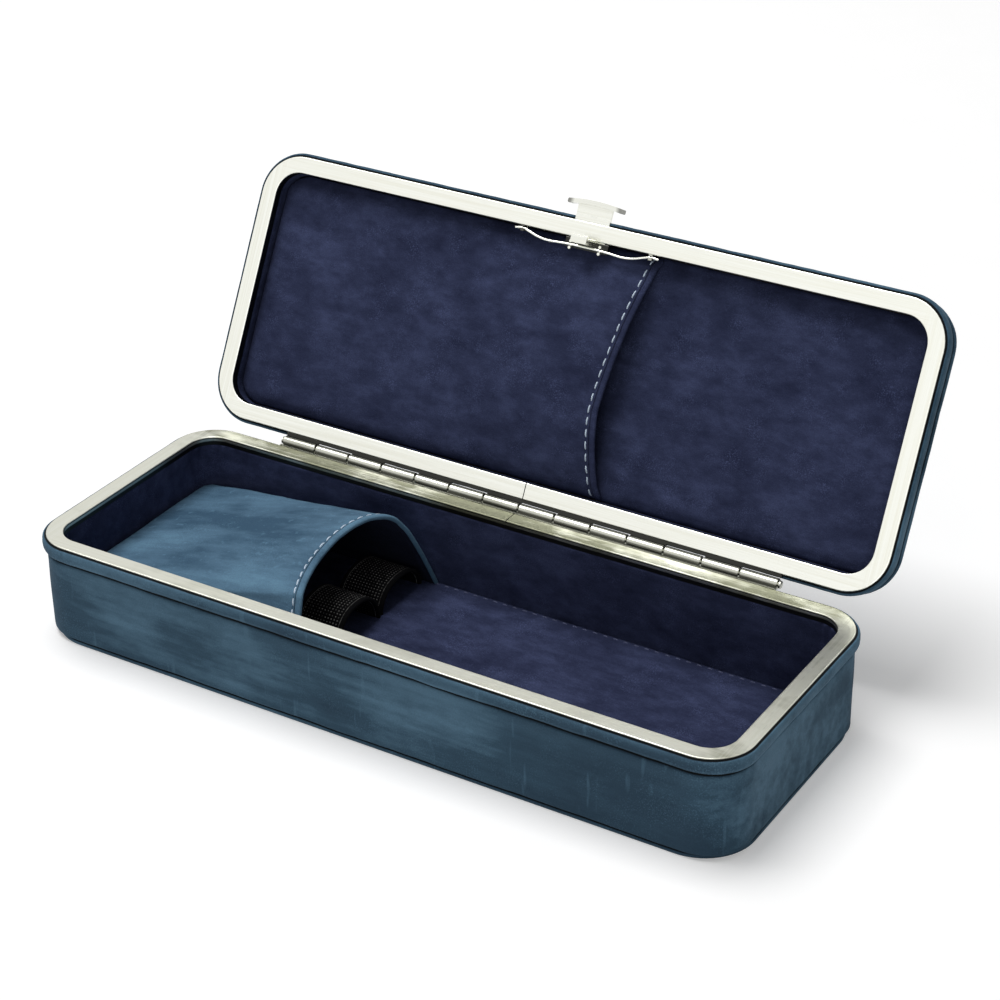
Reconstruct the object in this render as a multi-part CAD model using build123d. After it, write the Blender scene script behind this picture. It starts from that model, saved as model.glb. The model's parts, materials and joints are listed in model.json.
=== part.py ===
"""Hinged hard case for three pens: a leather-covered base and lid, each rimmed by a metal
frame, joined by a piano hinge at the back and held shut by a sprung catch at the front.

Frame: origin at the centre of the base's flat underside, +X along the case, -Y towards the
catch, +Z up. Millimetres. The lid is modelled shut and then swung open about the hinge.
"""
from build123d import *
import math
import os

# Metal frames, measured over the flange's outer edge
frame_length = 200.0
frame_width = 73.0
corner_radius = 11.3
flange_thick = 0.8
lip_drop = 1.6
lip_thick = 0.6
flange_edge_round = 0.3
butt_seam = 0.25

# Heights
base_height = 28.15
lid_height = 10.0
closed_gap = 0.3

# Layers of the walls, from the outside in
leather = 1.2
wall_board = 2.0
lining = 1.2
floor_board = 1.0
lid_board = 2.0
lid_padding = 1.8
lid_crown_round = 2.0
side_foot_round = 1.0

# Bottom panel
bottom_thick = 2.0
bottom_inset = 0.15
bottom_corner = 13.6
bottom_edge_round = 0.8

# Rolled band of leather round each frame
band_out = 1.05
band_tall = 3.3
band_below_flange = 0.55
band_round = 0.5

# Piano hinge
knuckle_count = 14
knuckle_pitch = 10.6
knuckle_radius = 1.45
knuckle_gap = 0.5
knuckle_chamfer = 0.15
pin_radius = 0.6
pin_fit = 0.05
pin_head_radius = 1.0
pin_head_thick = 0.4
axis_setback = 2.5
open_angle = 118.0
moving_clear = 0.3

# Floor pad
pad_thick = 0.9
pad_gap = 0.1
pad_round = 0.4

# Leather flap that covers the pens' ends: an arched sheet from the left wall to a concave mouth
flap_thick = 1.3
flap_wall_gap = 0.3
flap_mouth_x = -30.5
flap_mouth_dip = 10.2
# Points of its arch as (in from the lining, below the frame's face), at the wall and at the mouth
flap_wall_shoulder = (3.8, 15.45)
flap_wall_side = (1.1, 19.75)
flap_wall_crown_drop = 13.85
flap_mouth_shoulder = (11.1, 1.85)
flap_mouth_side = (4.1, 12.65)
flap_mouth_crown_rise = 2.35

# Elastic pen loops, side by side across the floor
loop_names = ("front", "middle", "rear")
loop_wall_gap = 2.7
loop_gap = 0.3
loop_shift = -0.3
loop_thick = 1.0
loop_front_x = -23.0
loop_width = 14.0

# Lid lining panel and the pocket sewn on it
panel_gap = 1.2
panel_round = 0.8
pocket_thick = 0.9
pocket_margin = 0.4
pocket_mouth_x = 14.4
pocket_mouth_shift = 3.0
pocket_mouth_dip = 3.7
pocket_slack = 4.7
pocket_flat = 1.2

# Sprung catch in the lid's front edge
plate_width = 10.0
plate_thick = 0.8
slide_gap = 0.15
shoulder_width = 12.4
shoulder_depth = 2.5
guide_thick = 0.4
thumb_out = 4.4
thumb_thick = 1.2
thumb_length = 15.8
thumb_height = 2.4
thumb_bow = 0.6
thumb_round = 0.35
hook_width = 4.6
hook_thick = 0.8
hook_setback = 0.7
hook_bite = 0.8
barb_thick = 1.0
barb_clear = 0.5
barb_side_clear = 0.6

# Bow spring of round wire, and what holds it
wire_radius = 0.35
wire_clear = 0.1
wire_middle_setback = 2.1
wire_belly_setback = 2.65
wire_eye_setback = 0.65
wire_tip_setback = 1.0
wire_middle_half = 5.5
wire_belly_x = 12.5
wire_eye_x = 18.8
wire_tip_x = 21.0
lug_x = 4.3
lug_radius = 0.4
eye_width = 1.0
eye_wall = 0.35
eye_clear = 0.2

# Levels and places that follow from the sizes above
flange_width = leather + wall_board + lining
front_edge = -frame_width / 2
front_inner = front_edge + flange_width
flange_under = base_height - flange_thick
lip_bottom = flange_under - lip_drop
floor_low = bottom_thick + floor_board
floor_top = floor_low + pad_thick
lid_face = base_height + closed_gap
lid_flange_back = lid_face + flange_thick
lid_lip_back = lid_flange_back + lip_drop
lid_top = lid_face + lid_height
lid_board_top = lid_top - leather
lid_board_under = lid_board_top - lid_board
lid_panel_face = lid_board_under - lid_padding
hinge_length = knuckle_count * knuckle_pitch
hinge_y = frame_width / 2 + axis_setback
hinge_z = base_height + closed_gap / 2
hinge_clear_radius = knuckle_radius + moving_clear
hinge_axis = Axis((0, hinge_y, hinge_z), (1, 0, 0))
plate_low = lid_flange_back + slide_gap
plate_high = plate_low + plate_thick
slot_top = plate_high + slide_gap
slot_half = plate_width / 2 + moving_clear
barb_top = lip_bottom - barb_clear
barb_bottom = barb_top - barb_thick
wire_z = plate_low - wire_clear - wire_radius
loop_pitch = -2 * (front_inner + loop_wall_gap) / len(loop_names)
press_travel = thumb_out - thumb_bow - band_out - moving_clear


def outline(inset):
    """The case's plan outline, moved inwards by inset all round."""
    return RectangleRounded(
        frame_length - 2 * inset, frame_width - 2 * inset, corner_radius - inset
    )


def slab(inset, low, high):
    """A solid with the case's outline between two levels."""
    return extrude(Pos(0, 0, low) * outline(inset), high - low)


def ring(outer, inner, low, high):
    """A wall that follows the case's outline, between two insets and two levels."""
    return extrude(Pos(0, 0, low) * (outline(outer) - outline(inner)), high - low)


def block(x, y, z):
    """A box between two limits along each axis."""
    centre = ((x[0] + x[1]) / 2, (y[0] + y[1]) / 2, (z[0] + z[1]) / 2)
    return Pos(*centre) * Box(x[1] - x[0], y[1] - y[0], z[1] - z[0])


def rod(radius, length, x, y, z):
    """A round bar along X, centred at a point."""
    return Pos(x, y, z) * Rot(0, 90, 0) * Cylinder(radius, length)


def flipped(part):
    """The base half's shape turned into the lid half's, about the plane where they meet."""
    return mirror(part, Plane.XY.offset(hinge_z))


def swung_open(part):
    """A piece of the shut lid, carried to where the open lid holds it."""
    return part.rotate(hinge_axis, -open_angle)


def frame_ring():
    """The base's metal frame: a flat flange with its inner edge turned down as a lip."""
    flange = ring(0, flange_width, flange_under, base_height)
    flange = fillet(flange.edges().group_by(Axis.Z)[-1], flange_edge_round)
    lip = ring(flange_width - lip_thick, flange_width, lip_bottom, flange_under)
    seam = block(
        (-butt_seam / 2, butt_seam / 2),
        (frame_width / 2 - flange_width - 1, frame_width / 2 + 1),
        (base_height - flange_thick / 2, base_height + 1),
    )
    return flange + lip - seam


def rim_band():
    """The rolled leather band round the base's frame, notched clear of the hinge."""
    high = base_height - band_below_flange
    roll = slab(-band_out, high - band_tall, high)
    levels = roll.edges().group_by(Axis.Z)
    roll = fillet(levels[0] + levels[-1], band_round)
    roll -= slab(0, high - band_tall, high)
    half = hinge_length / 2 + moving_clear
    leaf_notch = block((-half, half), (frame_width / 2, hinge_y), (flange_under, base_height))
    barrel_notch = rod(hinge_clear_radius, 2 * half, 0, hinge_y, hinge_z)
    return roll - leaf_notch - barrel_notch


def hinge_leaf(first):
    """A leaf in the base frame's plane with every second knuckle, from index first."""
    strip_end = hinge_y - hinge_clear_radius
    half = hinge_length / 2
    leaf = block((-half, half), (frame_width / 2, strip_end), (flange_under, base_height))
    length = knuckle_pitch - knuckle_gap
    for index in range(first, knuckle_count, 2):
        x = -half + (index + 0.5) * knuckle_pitch
        span = (x - length / 2, x + length / 2)
        leaf += block(span, (strip_end, hinge_y), (flange_under, base_height))
        knuckle = rod(knuckle_radius, length, x, hinge_y, hinge_z)
        leaf += chamfer(knuckle.edges().filter_by(GeomType.CIRCLE), knuckle_chamfer)
    return leaf - rod(pin_radius + pin_fit, hinge_length + 2, 0, hinge_y, hinge_z)


def hinge_pin():
    """The hinge's pin, headed at both ends."""
    reach = hinge_length / 2 + pin_fit
    pin = rod(pin_radius, 2 * reach, 0, hinge_y, hinge_z)
    for side in (-1, 1):
        x = side * (reach + pin_head_thick / 2)
        pin += rod(pin_head_radius, pin_head_thick, x, hinge_y, hinge_z)
    return pin


def bottom_panel():
    """The covered board under the base, with softened edges."""
    panel = extrude(
        RectangleRounded(
            frame_length - 2 * bottom_inset, frame_width - 2 * bottom_inset, bottom_corner
        ),
        bottom_thick,
    )
    return fillet(panel.edges().group_by(Axis.Z)[0], bottom_edge_round)


def base_side_leather():
    """The leather round the base's sides, turned in a little at its foot."""
    side = slab(0, bottom_thick, flange_under)
    side = fillet(side.edges().group_by(Axis.Z)[0], side_foot_round)
    return side - slab(leather, bottom_thick, flange_under)


def base_shell():
    """The stiff tray that carries the base."""
    tray = slab(leather, bottom_thick, flange_under)
    return tray - slab(leather + wall_board, floor_low, flange_under)


def base_wall_lining():
    """The suede on the base's walls, with a pocket where the catch's barb hooks in."""
    wall = ring(leather + wall_board, flange_width, floor_low, lip_bottom)
    half = hook_width / 2 + barb_side_clear
    keeper = block(
        (-half, half), (front_edge, front_inner + 1), (barb_bottom - barb_clear, lip_bottom)
    )
    return wall - keeper


def floor_pad():
    """The suede-covered pad on the floor."""
    pad = slab(flange_width + pad_gap, floor_low, floor_top)
    return fillet(pad.edges().group_by(Axis.Z)[-1], pad_round)


def between(start, end, share):
    """A value, or each value of a pair, a share of the way from start to end."""
    if isinstance(start, tuple):
        return tuple(a + (b - a) * share for a, b in zip(start, end))
    return start + (end - start) * share


def flap_section(x, skin):
    """The flap's arch across the case at x, drawn in by skin."""
    wall_x = -frame_length / 2 + flange_width + flap_wall_gap
    share = (x - wall_x) / (flap_mouth_x - wall_x)
    foot = -front_inner - flap_wall_gap - skin
    side_in, side_drop = between(flap_wall_side, flap_mouth_side, share)
    shoulder_in, shoulder_drop = between(flap_wall_shoulder, flap_mouth_shoulder, share)
    crown = base_height - skin + between(-flap_wall_crown_drop, flap_mouth_crown_rise, share)
    side = (-front_inner - side_in - skin, base_height - side_drop)
    slant = skin / math.sqrt(2)
    shoulder = (-front_inner - shoulder_in - slant, base_height - shoulder_drop - slant)
    low = floor_top - skin
    right = [(x, foot, low), (x, foot, floor_top), (x, *side), (x, *shoulder)]
    left = [(px, -py, pz) for px, py, pz in right]
    edges = [
        ThreePointArc(right[1], right[2], right[3]),
        ThreePointArc(right[3], (x, 0, crown), left[3]),
        ThreePointArc(left[3], left[2], left[1]),
        Line(left[0], right[0]),
    ]
    if skin:
        edges += [Line(right[0], right[1]), Line(left[1], left[0])]
    return make_face(Wire(edges))


def pen_flap():
    """The arched leather sheet over the pens' ends, with its concave mouth."""
    wall_x = -frame_length / 2 + flange_width + flap_wall_gap
    reach = flap_mouth_x + flap_mouth_dip + 1
    outer = loft([flap_section(wall_x, 0), flap_section(reach, 0)], ruled=True)
    inner = loft(
        [flap_section(wall_x - 1, flap_thick), flap_section(reach + 1, flap_thick)], ruled=True
    )
    radius = (front_inner**2 + flap_mouth_dip**2) / (2 * flap_mouth_dip)
    mouth = Pos(flap_mouth_x + radius, 0, base_height) * Cylinder(radius, 3 * base_height)
    cavity = slab(flange_width + flap_wall_gap, floor_top, lid_top)
    return (outer - inner - mouth) & cavity


def pen_loop(index):
    """One arch of elastic, its feet on the floor pad."""
    radius = (loop_pitch - loop_gap) / 2
    y = loop_shift + (index - (len(loop_names) - 1) / 2) * loop_pitch
    x = loop_front_x - loop_width / 2
    arch = rod(radius, loop_width, x, y, floor_top)
    arch -= rod(radius - loop_thick, loop_width, x, y, floor_top)
    above = block(
        (x - loop_width, x + loop_width), (y - loop_pitch, y + loop_pitch),
        (floor_top, floor_top + 2 * radius),
    )
    return arch & above


def slot_cut(half, top):
    """The slot through the lid's front wall for the catch."""
    return block((-half, half), (2 * front_edge, front_inner + 1), (lid_flange_back, top))


def lid_cover():
    """The leather over the lid's top and sides."""
    skin = slab(0, lid_flange_back, lid_top)
    skin = fillet(skin.edges().group_by(Axis.Z)[-1], lid_crown_round)
    hollow = slab(leather, lid_flange_back, lid_board_top)
    hollow = fillet(hollow.edges().group_by(Axis.Z)[-1], lid_crown_round - leather)
    return skin - hollow - slot_cut(slot_half, slot_top)


def lid_shell():
    """The stiff tray that carries the lid."""
    tray = slab(leather, lid_flange_back, lid_board_top)
    tray = fillet(tray.edges().group_by(Axis.Z)[-1], lid_crown_round - leather)
    tray -= slab(leather + wall_board, lid_flange_back, lid_board_under)
    return tray - slot_cut(slot_half + guide_thick, slot_top + guide_thick)


def lid_wall_lining():
    """The suede on the lid's walls."""
    return ring(leather + wall_board, flange_width, lid_lip_back, lid_board_under)


def lid_lining_panel():
    """The padded suede panel inside the lid."""
    panel = slab(flange_width + panel_gap, lid_panel_face, lid_board_under)
    return fillet(panel.edges().group_by(Axis.Z)[0], panel_round)


def pocket_section(x, slack):
    """The pocket's sheet across the lid at x, standing slack off the lining panel."""
    half = -front_inner - panel_gap - pocket_margin
    inner_half = half - pocket_thick
    outer_crown = (x, pocket_mouth_shift, lid_panel_face - slack)
    inner_crown = (x, pocket_mouth_shift, lid_panel_face - slack + pocket_thick)
    edges = [
        ThreePointArc((x, -half, lid_panel_face), outer_crown, (x, half, lid_panel_face)),
        Line((x, half, lid_panel_face), (x, inner_half, lid_panel_face)),
        ThreePointArc(
            (x, inner_half, lid_panel_face), inner_crown, (x, -inner_half, lid_panel_face)
        ),
        Line((x, -inner_half, lid_panel_face), (x, -half, lid_panel_face)),
    ]
    return make_face(Wire(edges))


def lid_pocket():
    """The pocket's sheet, flat at the lid's left end and slack at its concave mouth."""
    inset = flange_width + panel_gap + pocket_margin
    left = -frame_length / 2 + inset
    reach = pocket_mouth_x + 2 * pocket_mouth_dip
    places = (left, left / 3, pocket_mouth_x / 4, reach)
    slacks = (pocket_flat, 1.4 * pocket_flat, 0.7 * pocket_slack, pocket_slack)
    sheet = loft([pocket_section(x, slack) for x, slack in zip(places, slacks)], ruled=True)
    radius = (front_inner**2 + pocket_mouth_dip**2) / (2 * pocket_mouth_dip)
    mouth = Pos(pocket_mouth_x + radius, pocket_mouth_shift, lid_panel_face) * Cylinder(
        radius, 4 * lid_height
    )
    return (sheet - mouth) & slab(inset, base_height / 2, lid_panel_face)


def latch_guide():
    """The metal bridge that keeps the catch's plate on the lid's flange."""
    half = slot_half + guide_thick
    depth = (front_edge + leather, front_inner - lip_thick)
    bridge = block((-half, half), depth, (lid_flange_back, slot_top + guide_thick))
    return bridge - slot_cut(slot_half, slot_top)


def latch_plate():
    """The catch's sliding plate: a neck through the wall and a wider head inside."""
    neck = block(
        (-plate_width / 2, plate_width / 2),
        (front_edge - thumb_out, front_inner + moving_clear),
        (plate_low, plate_high),
    )
    head = block(
        (-shoulder_width / 2, shoulder_width / 2),
        (front_inner + moving_clear, front_inner + moving_clear + shoulder_depth),
        (plate_low, plate_high),
    )
    return neck + head


def latch_thumb_bar():
    """The curved bar that the thumb presses, across the end of the neck."""
    half = thumb_length / 2
    near = front_edge - thumb_out
    far = near - thumb_thick
    edges = [
        ThreePointArc((-half, far + thumb_bow), (0, far), (half, far + thumb_bow)),
        Line((half, far + thumb_bow), (half, near + thumb_bow)),
        ThreePointArc((half, near + thumb_bow), (0, near), (-half, near + thumb_bow)),
        Line((-half, near + thumb_bow), (-half, far + thumb_bow)),
    ]
    middle = (plate_low + plate_high) / 2
    bar = extrude(Pos(0, 0, middle - thumb_height / 2) * make_face(Wire(edges)), thumb_height)
    bar = fillet(bar.edges().filter_by(Axis.Z), thumb_round)
    return bar - block(
        (-plate_width / 2, plate_width / 2), (near, near + 2 * thumb_bow), (plate_low, plate_high)
    )


def catch_hook():
    """The tongue bent down from the plate, with the barb that hooks under the base's lip."""
    shank_front = front_inner + hook_setback
    shank_back = shank_front + hook_thick
    half = hook_width / 2
    shank = block((-half, half), (shank_front, shank_back), (barb_bottom, plate_low))
    barb = block((-half, half), (front_inner - hook_bite, shank_back), (barb_bottom, barb_top))
    nose = barb.edges().filter_by(Axis.X).group_by(Axis.Y)[0].sort_by(Axis.Z)[0]
    return shank + chamfer(nose, barb_thick / 2, hook_bite / 2)


def spring_lugs():
    """Two pairs of studs under the plate, one stud on each side of the spring's wire."""
    reach = wire_radius + wire_clear + lug_radius
    low = wire_z - wire_radius - wire_clear
    studs = Part()
    for x in (-lug_x, lug_x):
        for side in (-1, 1):
            y = front_inner + wire_middle_setback + side * reach
            studs += Pos(x, y, (low + plate_low) / 2) * Cylinder(lug_radius, plate_low - low)
    return studs


def spring_anchors():
    """The two small eyes on the lid's frame through which the spring's ends pass."""
    y = front_inner + wire_eye_setback
    reach = wire_radius + eye_clear + eye_wall
    eyes = Part()
    for x in (-wire_eye_x, wire_eye_x):
        eye = block(
            (x - eye_width / 2, x + eye_width / 2), (front_inner, y + reach),
            (lid_face, wire_z + reach),
        )
        eyes += eye - rod(wire_radius + eye_clear, 2 * eye_width, x, y, wire_z)
    return eyes


def latch_spring():
    """The bow of spring wire, from eye to eye past the catch's lugs."""
    half_path = [
        (wire_middle_half, wire_middle_setback),
        (wire_belly_x, wire_belly_setback),
        (wire_eye_x, wire_eye_setback),
        (wire_tip_x, wire_tip_setback),
    ]
    left = [(-x, y) for x, y in reversed(half_path)]
    points = [(x, front_inner + y, wire_z) for x, y in left + half_path]
    corners = [Vector(*point) for point in points]
    radii = []
    for before, here, after in zip(corners, corners[1:], corners[2:]):
        turn = math.radians((here - before).get_angle(after - here))
        shorter = min((here - before).length, (after - here).length)
        radii.append(0.45 * shorter / math.tan(turn / 2))
    path = FilletPolyline(*points, radius=radii)
    profile = Plane(origin=path @ 0, z_dir=path % 0) * Circle(wire_radius)
    wire = sweep(profile, path)
    expected = math.pi * wire_radius**2 * path.length
    print(f"spring wire: least radius {min(radii):.1f}, volume {wire.volume / expected:.4f}")
    return wire


def base_pieces():
    """Every piece that stays with the base."""
    pieces = {
        "bottom_panel": bottom_panel(),
        "base_shell": base_shell(),
        "base_side_leather": base_side_leather(),
        "base_rim_band": rim_band(),
        "base_frame": frame_ring(),
        "base_hinge_leaf": hinge_leaf(1),
        "hinge_pin": hinge_pin(),
        "base_wall_lining": base_wall_lining(),
        "floor_pad": floor_pad(),
        "pen_flap": pen_flap(),
    }
    for index, name in enumerate(loop_names):
        pieces[f"pen_loop_{name}"] = pen_loop(index)
    return pieces


def lid_pieces():
    """Every piece that swings with the lid, in the shut position."""
    slot = slot_cut(slot_half, slot_top)
    return {
        "lid_shell": lid_shell(),
        "lid_cover": lid_cover(),
        "lid_rim_band": flipped(rim_band()) - slot,
        "lid_frame": flipped(frame_ring()) - slot_cut(slot_half, lid_lip_back),
        "lid_hinge_leaf": flipped(hinge_leaf(0)),
        "lid_wall_lining": lid_wall_lining(),
        "lid_lining_panel": lid_lining_panel(),
        "lid_pocket": lid_pocket(),
        "latch_guide": latch_guide(),
        "spring_anchors": spring_anchors(),
        "latch_spring": latch_spring(),
        "latch_plate": latch_plate(),
        "latch_thumb_bar": latch_thumb_bar(),
        "catch_hook": catch_hook(),
        "spring_lugs": spring_lugs(),
    }


def main():
    os.makedirs("parts", exist_ok=True)
    for name, piece in base_pieces().items():
        export_step(piece, f"parts/{name}.step")
    for name, piece in lid_pieces().items():
        export_step(swung_open(piece), f"parts/{name}.step")
    print(f"catch travel {press_travel:.2f}, hinge axis y {hinge_y:.2f} z {hinge_z:.2f}")


main()
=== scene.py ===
"""Looks of the hinged pen case: leather, suede, elastic, thread and metal round the packed frame.

Lengths inside the making functions are in millimetres, and the lid's pieces are drawn shut and
then swung open about the hinge, as the frame's own lid is.
"""
import json
import math

import bmesh
import bpy
import numpy as np
from mathutils import Matrix, Vector, noise

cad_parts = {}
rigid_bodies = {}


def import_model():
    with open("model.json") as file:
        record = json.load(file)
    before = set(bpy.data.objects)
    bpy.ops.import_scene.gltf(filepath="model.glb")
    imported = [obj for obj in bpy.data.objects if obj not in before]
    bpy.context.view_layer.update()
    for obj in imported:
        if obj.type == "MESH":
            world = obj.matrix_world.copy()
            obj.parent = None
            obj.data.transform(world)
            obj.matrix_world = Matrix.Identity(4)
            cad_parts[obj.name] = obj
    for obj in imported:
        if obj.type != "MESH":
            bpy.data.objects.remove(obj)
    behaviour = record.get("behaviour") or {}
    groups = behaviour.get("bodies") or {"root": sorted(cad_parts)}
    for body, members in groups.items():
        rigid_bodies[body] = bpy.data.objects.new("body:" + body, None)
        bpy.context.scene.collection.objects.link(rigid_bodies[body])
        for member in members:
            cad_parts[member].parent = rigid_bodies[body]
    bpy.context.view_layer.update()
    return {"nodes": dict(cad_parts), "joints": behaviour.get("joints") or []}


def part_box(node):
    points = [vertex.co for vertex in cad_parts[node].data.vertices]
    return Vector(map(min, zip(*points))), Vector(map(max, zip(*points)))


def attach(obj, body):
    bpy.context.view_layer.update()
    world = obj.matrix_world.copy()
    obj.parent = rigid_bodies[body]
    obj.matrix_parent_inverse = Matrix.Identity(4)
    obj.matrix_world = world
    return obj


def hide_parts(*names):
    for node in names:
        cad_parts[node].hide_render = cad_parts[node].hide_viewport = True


bl_info = {
    "name": "Pen case looks",
    "version": (1, 0, 0),
    "blender": (4, 5, 0),
    "location": "3D View > Sidebar > Pen case",
    "description": "Dresses a hinged pen case in leather, suede, elastic and brushed metal",
    "category": "Object",
}

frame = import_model()
RIM_LOW, RIM_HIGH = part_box("base_frame")
MM = 0.001
HINGE = next(joint for joint in frame["joints"] if joint["name"] == "lid_hinge")
LID_BODY = HINGE["child"]
BASE_BODY = HINGE["parent"]

# How much the flat faces and the cut edges are rubbed
FLAT_WEAR = 0.15
SHEET_EDGE_WEAR = 0.8
# How dark the painted shade on the metal's edges is at its darkest, from 0 to 1
DARKEST_PAINTED_SHADE = 0.97
# How far a thread lies over the leather, as a part of its thickness
STITCH_LIFT = 0.22
# The floor pad's thread on a screen
PAD_THREAD = (92, 98, 132)
# Millimetres of room round the hinge's leaf, round its axis, beside the pads and the bottom
LEAF_ROOM = 0.06
BARREL_ROOM = 1.8
PAD_ROOM = 0.1
BOTTOM_INSET = 0.15
# Half the width of the recess for the catch's barb in millimetres
BARB_HALF = 2.9
# Points across the pocket, and to each thread of the elastic
POCKET_STEPS = 90
WEAVE_POINTS = 5
# How far the floor reaches each way and where the lamps point, in metres
FLOOR_REACH = 4.0
LAMP_TARGET = (0, 0.02, 0.03)


# Kinds of settings

LENGTH = {"precision": 5, "unit": "LENGTH", "subtype": "DISTANCE"}


def linear(red, green, blue):
    """A colour as Blender keeps it, from the 0 to 255 values seen on a screen."""
    steps = [value / 255 for value in (red, green, blue)]
    return [s / 12.92 if s <= 0.04045 else ((s + 0.055) / 1.055) ** 2.4 for s in steps]


def number(name, description, default, **more):
    """A number that a user may change."""
    return bpy.props.FloatProperty(name=name, description=description, default=default, **more)


def size(name, description, millimetres):
    """A length, which is never below zero."""
    return number(name, description, millimetres * MM, min=0, **LENGTH)


def place(name, description, millimetres):
    """A coordinate, which may be below zero."""
    return number(name, description, millimetres * MM, **LENGTH)


def turn(name, description, degrees):
    """An angle."""
    return number(name, description, math.radians(degrees), unit="ROTATION", subtype="ANGLE")


def share(name, description, value, highest=1.0):
    """A plain number from 0 up."""
    return number(name, description, value, min=0, max=highest)


def colour(name, description, red, green, blue):
    """A colour that a user may change."""
    tint = linear(red, green, blue)
    more = {"default": tint, "min": 0, "max": 1, "size": 3, "subtype": "COLOR"}
    return bpy.props.FloatVectorProperty(name=name, description=description, **more)


# What a user may change


class PENCASE_PG_body(bpy.types.PropertyGroup):
    """Sizes of the covered base and lid."""

    corner: size("Corner radius", "Plan radius of the frame's corners", 11.3)
    flange: size("Flange width", "Width of the metal frame's face", 4.4)
    flange_thick: size("Flange thickness", "Thickness of the metal frame's sheet", 0.8)
    lip: size("Lip", "How far the frame's inner edge is turned down", 1.6)
    leather: size("Leather", "Thickness of the leather", 1.2)
    lining: size("Lining", "Thickness of the suede on the walls", 1.2)
    bottom: size("Bottom panel", "Thickness of the covered bottom board", 2.0)
    seam_below: size("Foot seam", "How far the sides reach down over the bottom panel", 0.55)
    bottom_corner: size("Bottom corner", "Plan radius of the bottom panel", 13.6)
    floor: size("Floor board", "Thickness of the board under the pad", 1.0)
    pad: size("Floor pad", "Thickness of the pad", 0.9)
    band_out: size("Band", "How far the rolled band stands out from the frame", 1.05)
    band_tall: size("Band height", "Height of the rolled band", 3.3)
    band_below: size("Band step", "How far the band lies below the frame's face", 0.55)
    gap: size("Closed gap", "Gap between the two frames when shut", 0.3)
    lid: size("Lid height", "Height of the lid from its frame's face", 10.0)
    crown: size("Lid rounding", "Rounding of the lid's upper edge", 2.0)
    roof: size("Lid board", "Leather and board over the lid's padding", 3.2)
    padding: size("Lid padding", "Padding of the panel inside the lid", 1.8)
    hinge_run: size("Hinge length", "Length of the hinge along the back", 149.0)
    slot_half: size("Catch slot", "Half the width of the slot for the catch", 5.3)
    slot_tall: size("Catch slot height", "Height of that slot over the frame", 1.15)


class PENCASE_PG_soft(bpy.types.PropertyGroup):
    """Sizes of the flap, the loops and the pocket."""

    flap_thick: size("Flap leather", "Thickness of the flap", 1.3)
    flap_mouth: place("Flap mouth", "X of the middle of the flap's mouth", -31.1)
    flap_dip: size("Flap mouth dip", "Depth of the mouth's curve in plan", 10.2)
    flap_rise: size("Flap crown", "Height of the mouth's crown over the frame", 1.85)
    flap_lean: size("Flap lean", "How far the mouth's crown leans to the rear", 6.0)
    flap_drop: size("Flap wall end", "Depth of the flap's crown at the wall", 14.4)
    hem: size("Hem", "Distance from an edge to its stitches", 1.9)
    loop_radius: size("Loop radius", "Outer radius of the elastic loops", 9.65)
    loop_thick: size("Elastic", "Thickness of the elastic", 1.0)
    loop_width: size("Loop width", "Width of the elastic band", 14.0)
    weave: size("Weave", "Spacing of the elastic's threads", 0.92)
    pocket_thick: size("Pocket suede", "Thickness of the pocket", 0.9)
    pocket_hem: size("Pocket hem", "Distance from the mouth to its stitches", 2.15)
    pocket_mouth: place("Pocket mouth", "X of the middle of the pocket's mouth", 15.1)
    pocket_dip: size("Mouth curve, front", "Depth of the mouth's curve to the front", 5.0)
    pocket_dip_rear: size("Mouth curve, rear", "Depth of the mouth's curve to the rear", 3.8)
    pocket_shift: size("Pocket shift", "How far the mouth's middle lies to the rear", 9.0)
    pocket_slack: size("Pocket slack", "How far the mouth stands off the lining", 6.4)


class PENCASE_PG_thread(bpy.types.PropertyGroup):
    """Sizes of the stitches."""

    pitch: size("Pitch", "Distance from one stitch to the next", 3.0)
    length: size("Length", "Length of one stitch", 2.1)
    thick: size("Thread", "Thickness of the thread", 0.46)
    tilt: turn("Tilt", "How far a stitch may turn out of its line", 5.0)


class PENCASE_PG_finish(bpy.types.PropertyGroup):
    """Colours of the finishes."""

    leather: colour("Leather", "Main colour of the outside", 53, 78, 96)
    leather_dark: colour("Leather, dark", "Colour where the wax is thick", 46, 67, 84)
    leather_pale: colour("Leather, pale", "Colour where the leather is rubbed", 82, 113, 134)
    flap: colour("Flap", "Main colour of the flap", 80, 111, 135)
    flap_dark: colour("Flap, dark", "Darker clouds in the flap", 56, 84, 107)
    flap_pale: colour("Flap, pale", "Rubbed places on the flap", 99, 136, 161)
    suede: colour("Suede", "Main colour of the lining", 51, 57, 84)
    suede_dark: colour("Suede, dark", "Colour where the nap lies down", 40, 45, 69)
    suede_pale: colour("Suede, pale", "Colour where the nap stands up", 74, 82, 116)
    underside: colour("Underside", "Rough inner side of the flap", 24, 27, 38)
    metal: colour("Frame", "Bright places on the brushed metal", 243, 244, 236)
    metal_dull: colour("Frame, dull", "Dull places on the brushed metal", 224, 223, 210)
    # The frames and the hinge are also darkened part of the way to this tarnish, as painted shade.
    tarnish: colour("Tarnish", "Smears and dark edges on the metal", 122, 123, 104)
    thread: colour("Thread", "Colour of the stitches", 220, 237, 255)
    elastic: colour("Elastic", "Colour of the elastic's ground", 5, 5, 7)
    elastic_pale: colour("Elastic, pale", "Colour of its raised threads", 165, 165, 162)
    board: colour("Board", "Colour of the stiff trays", 96, 88, 76)


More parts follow.
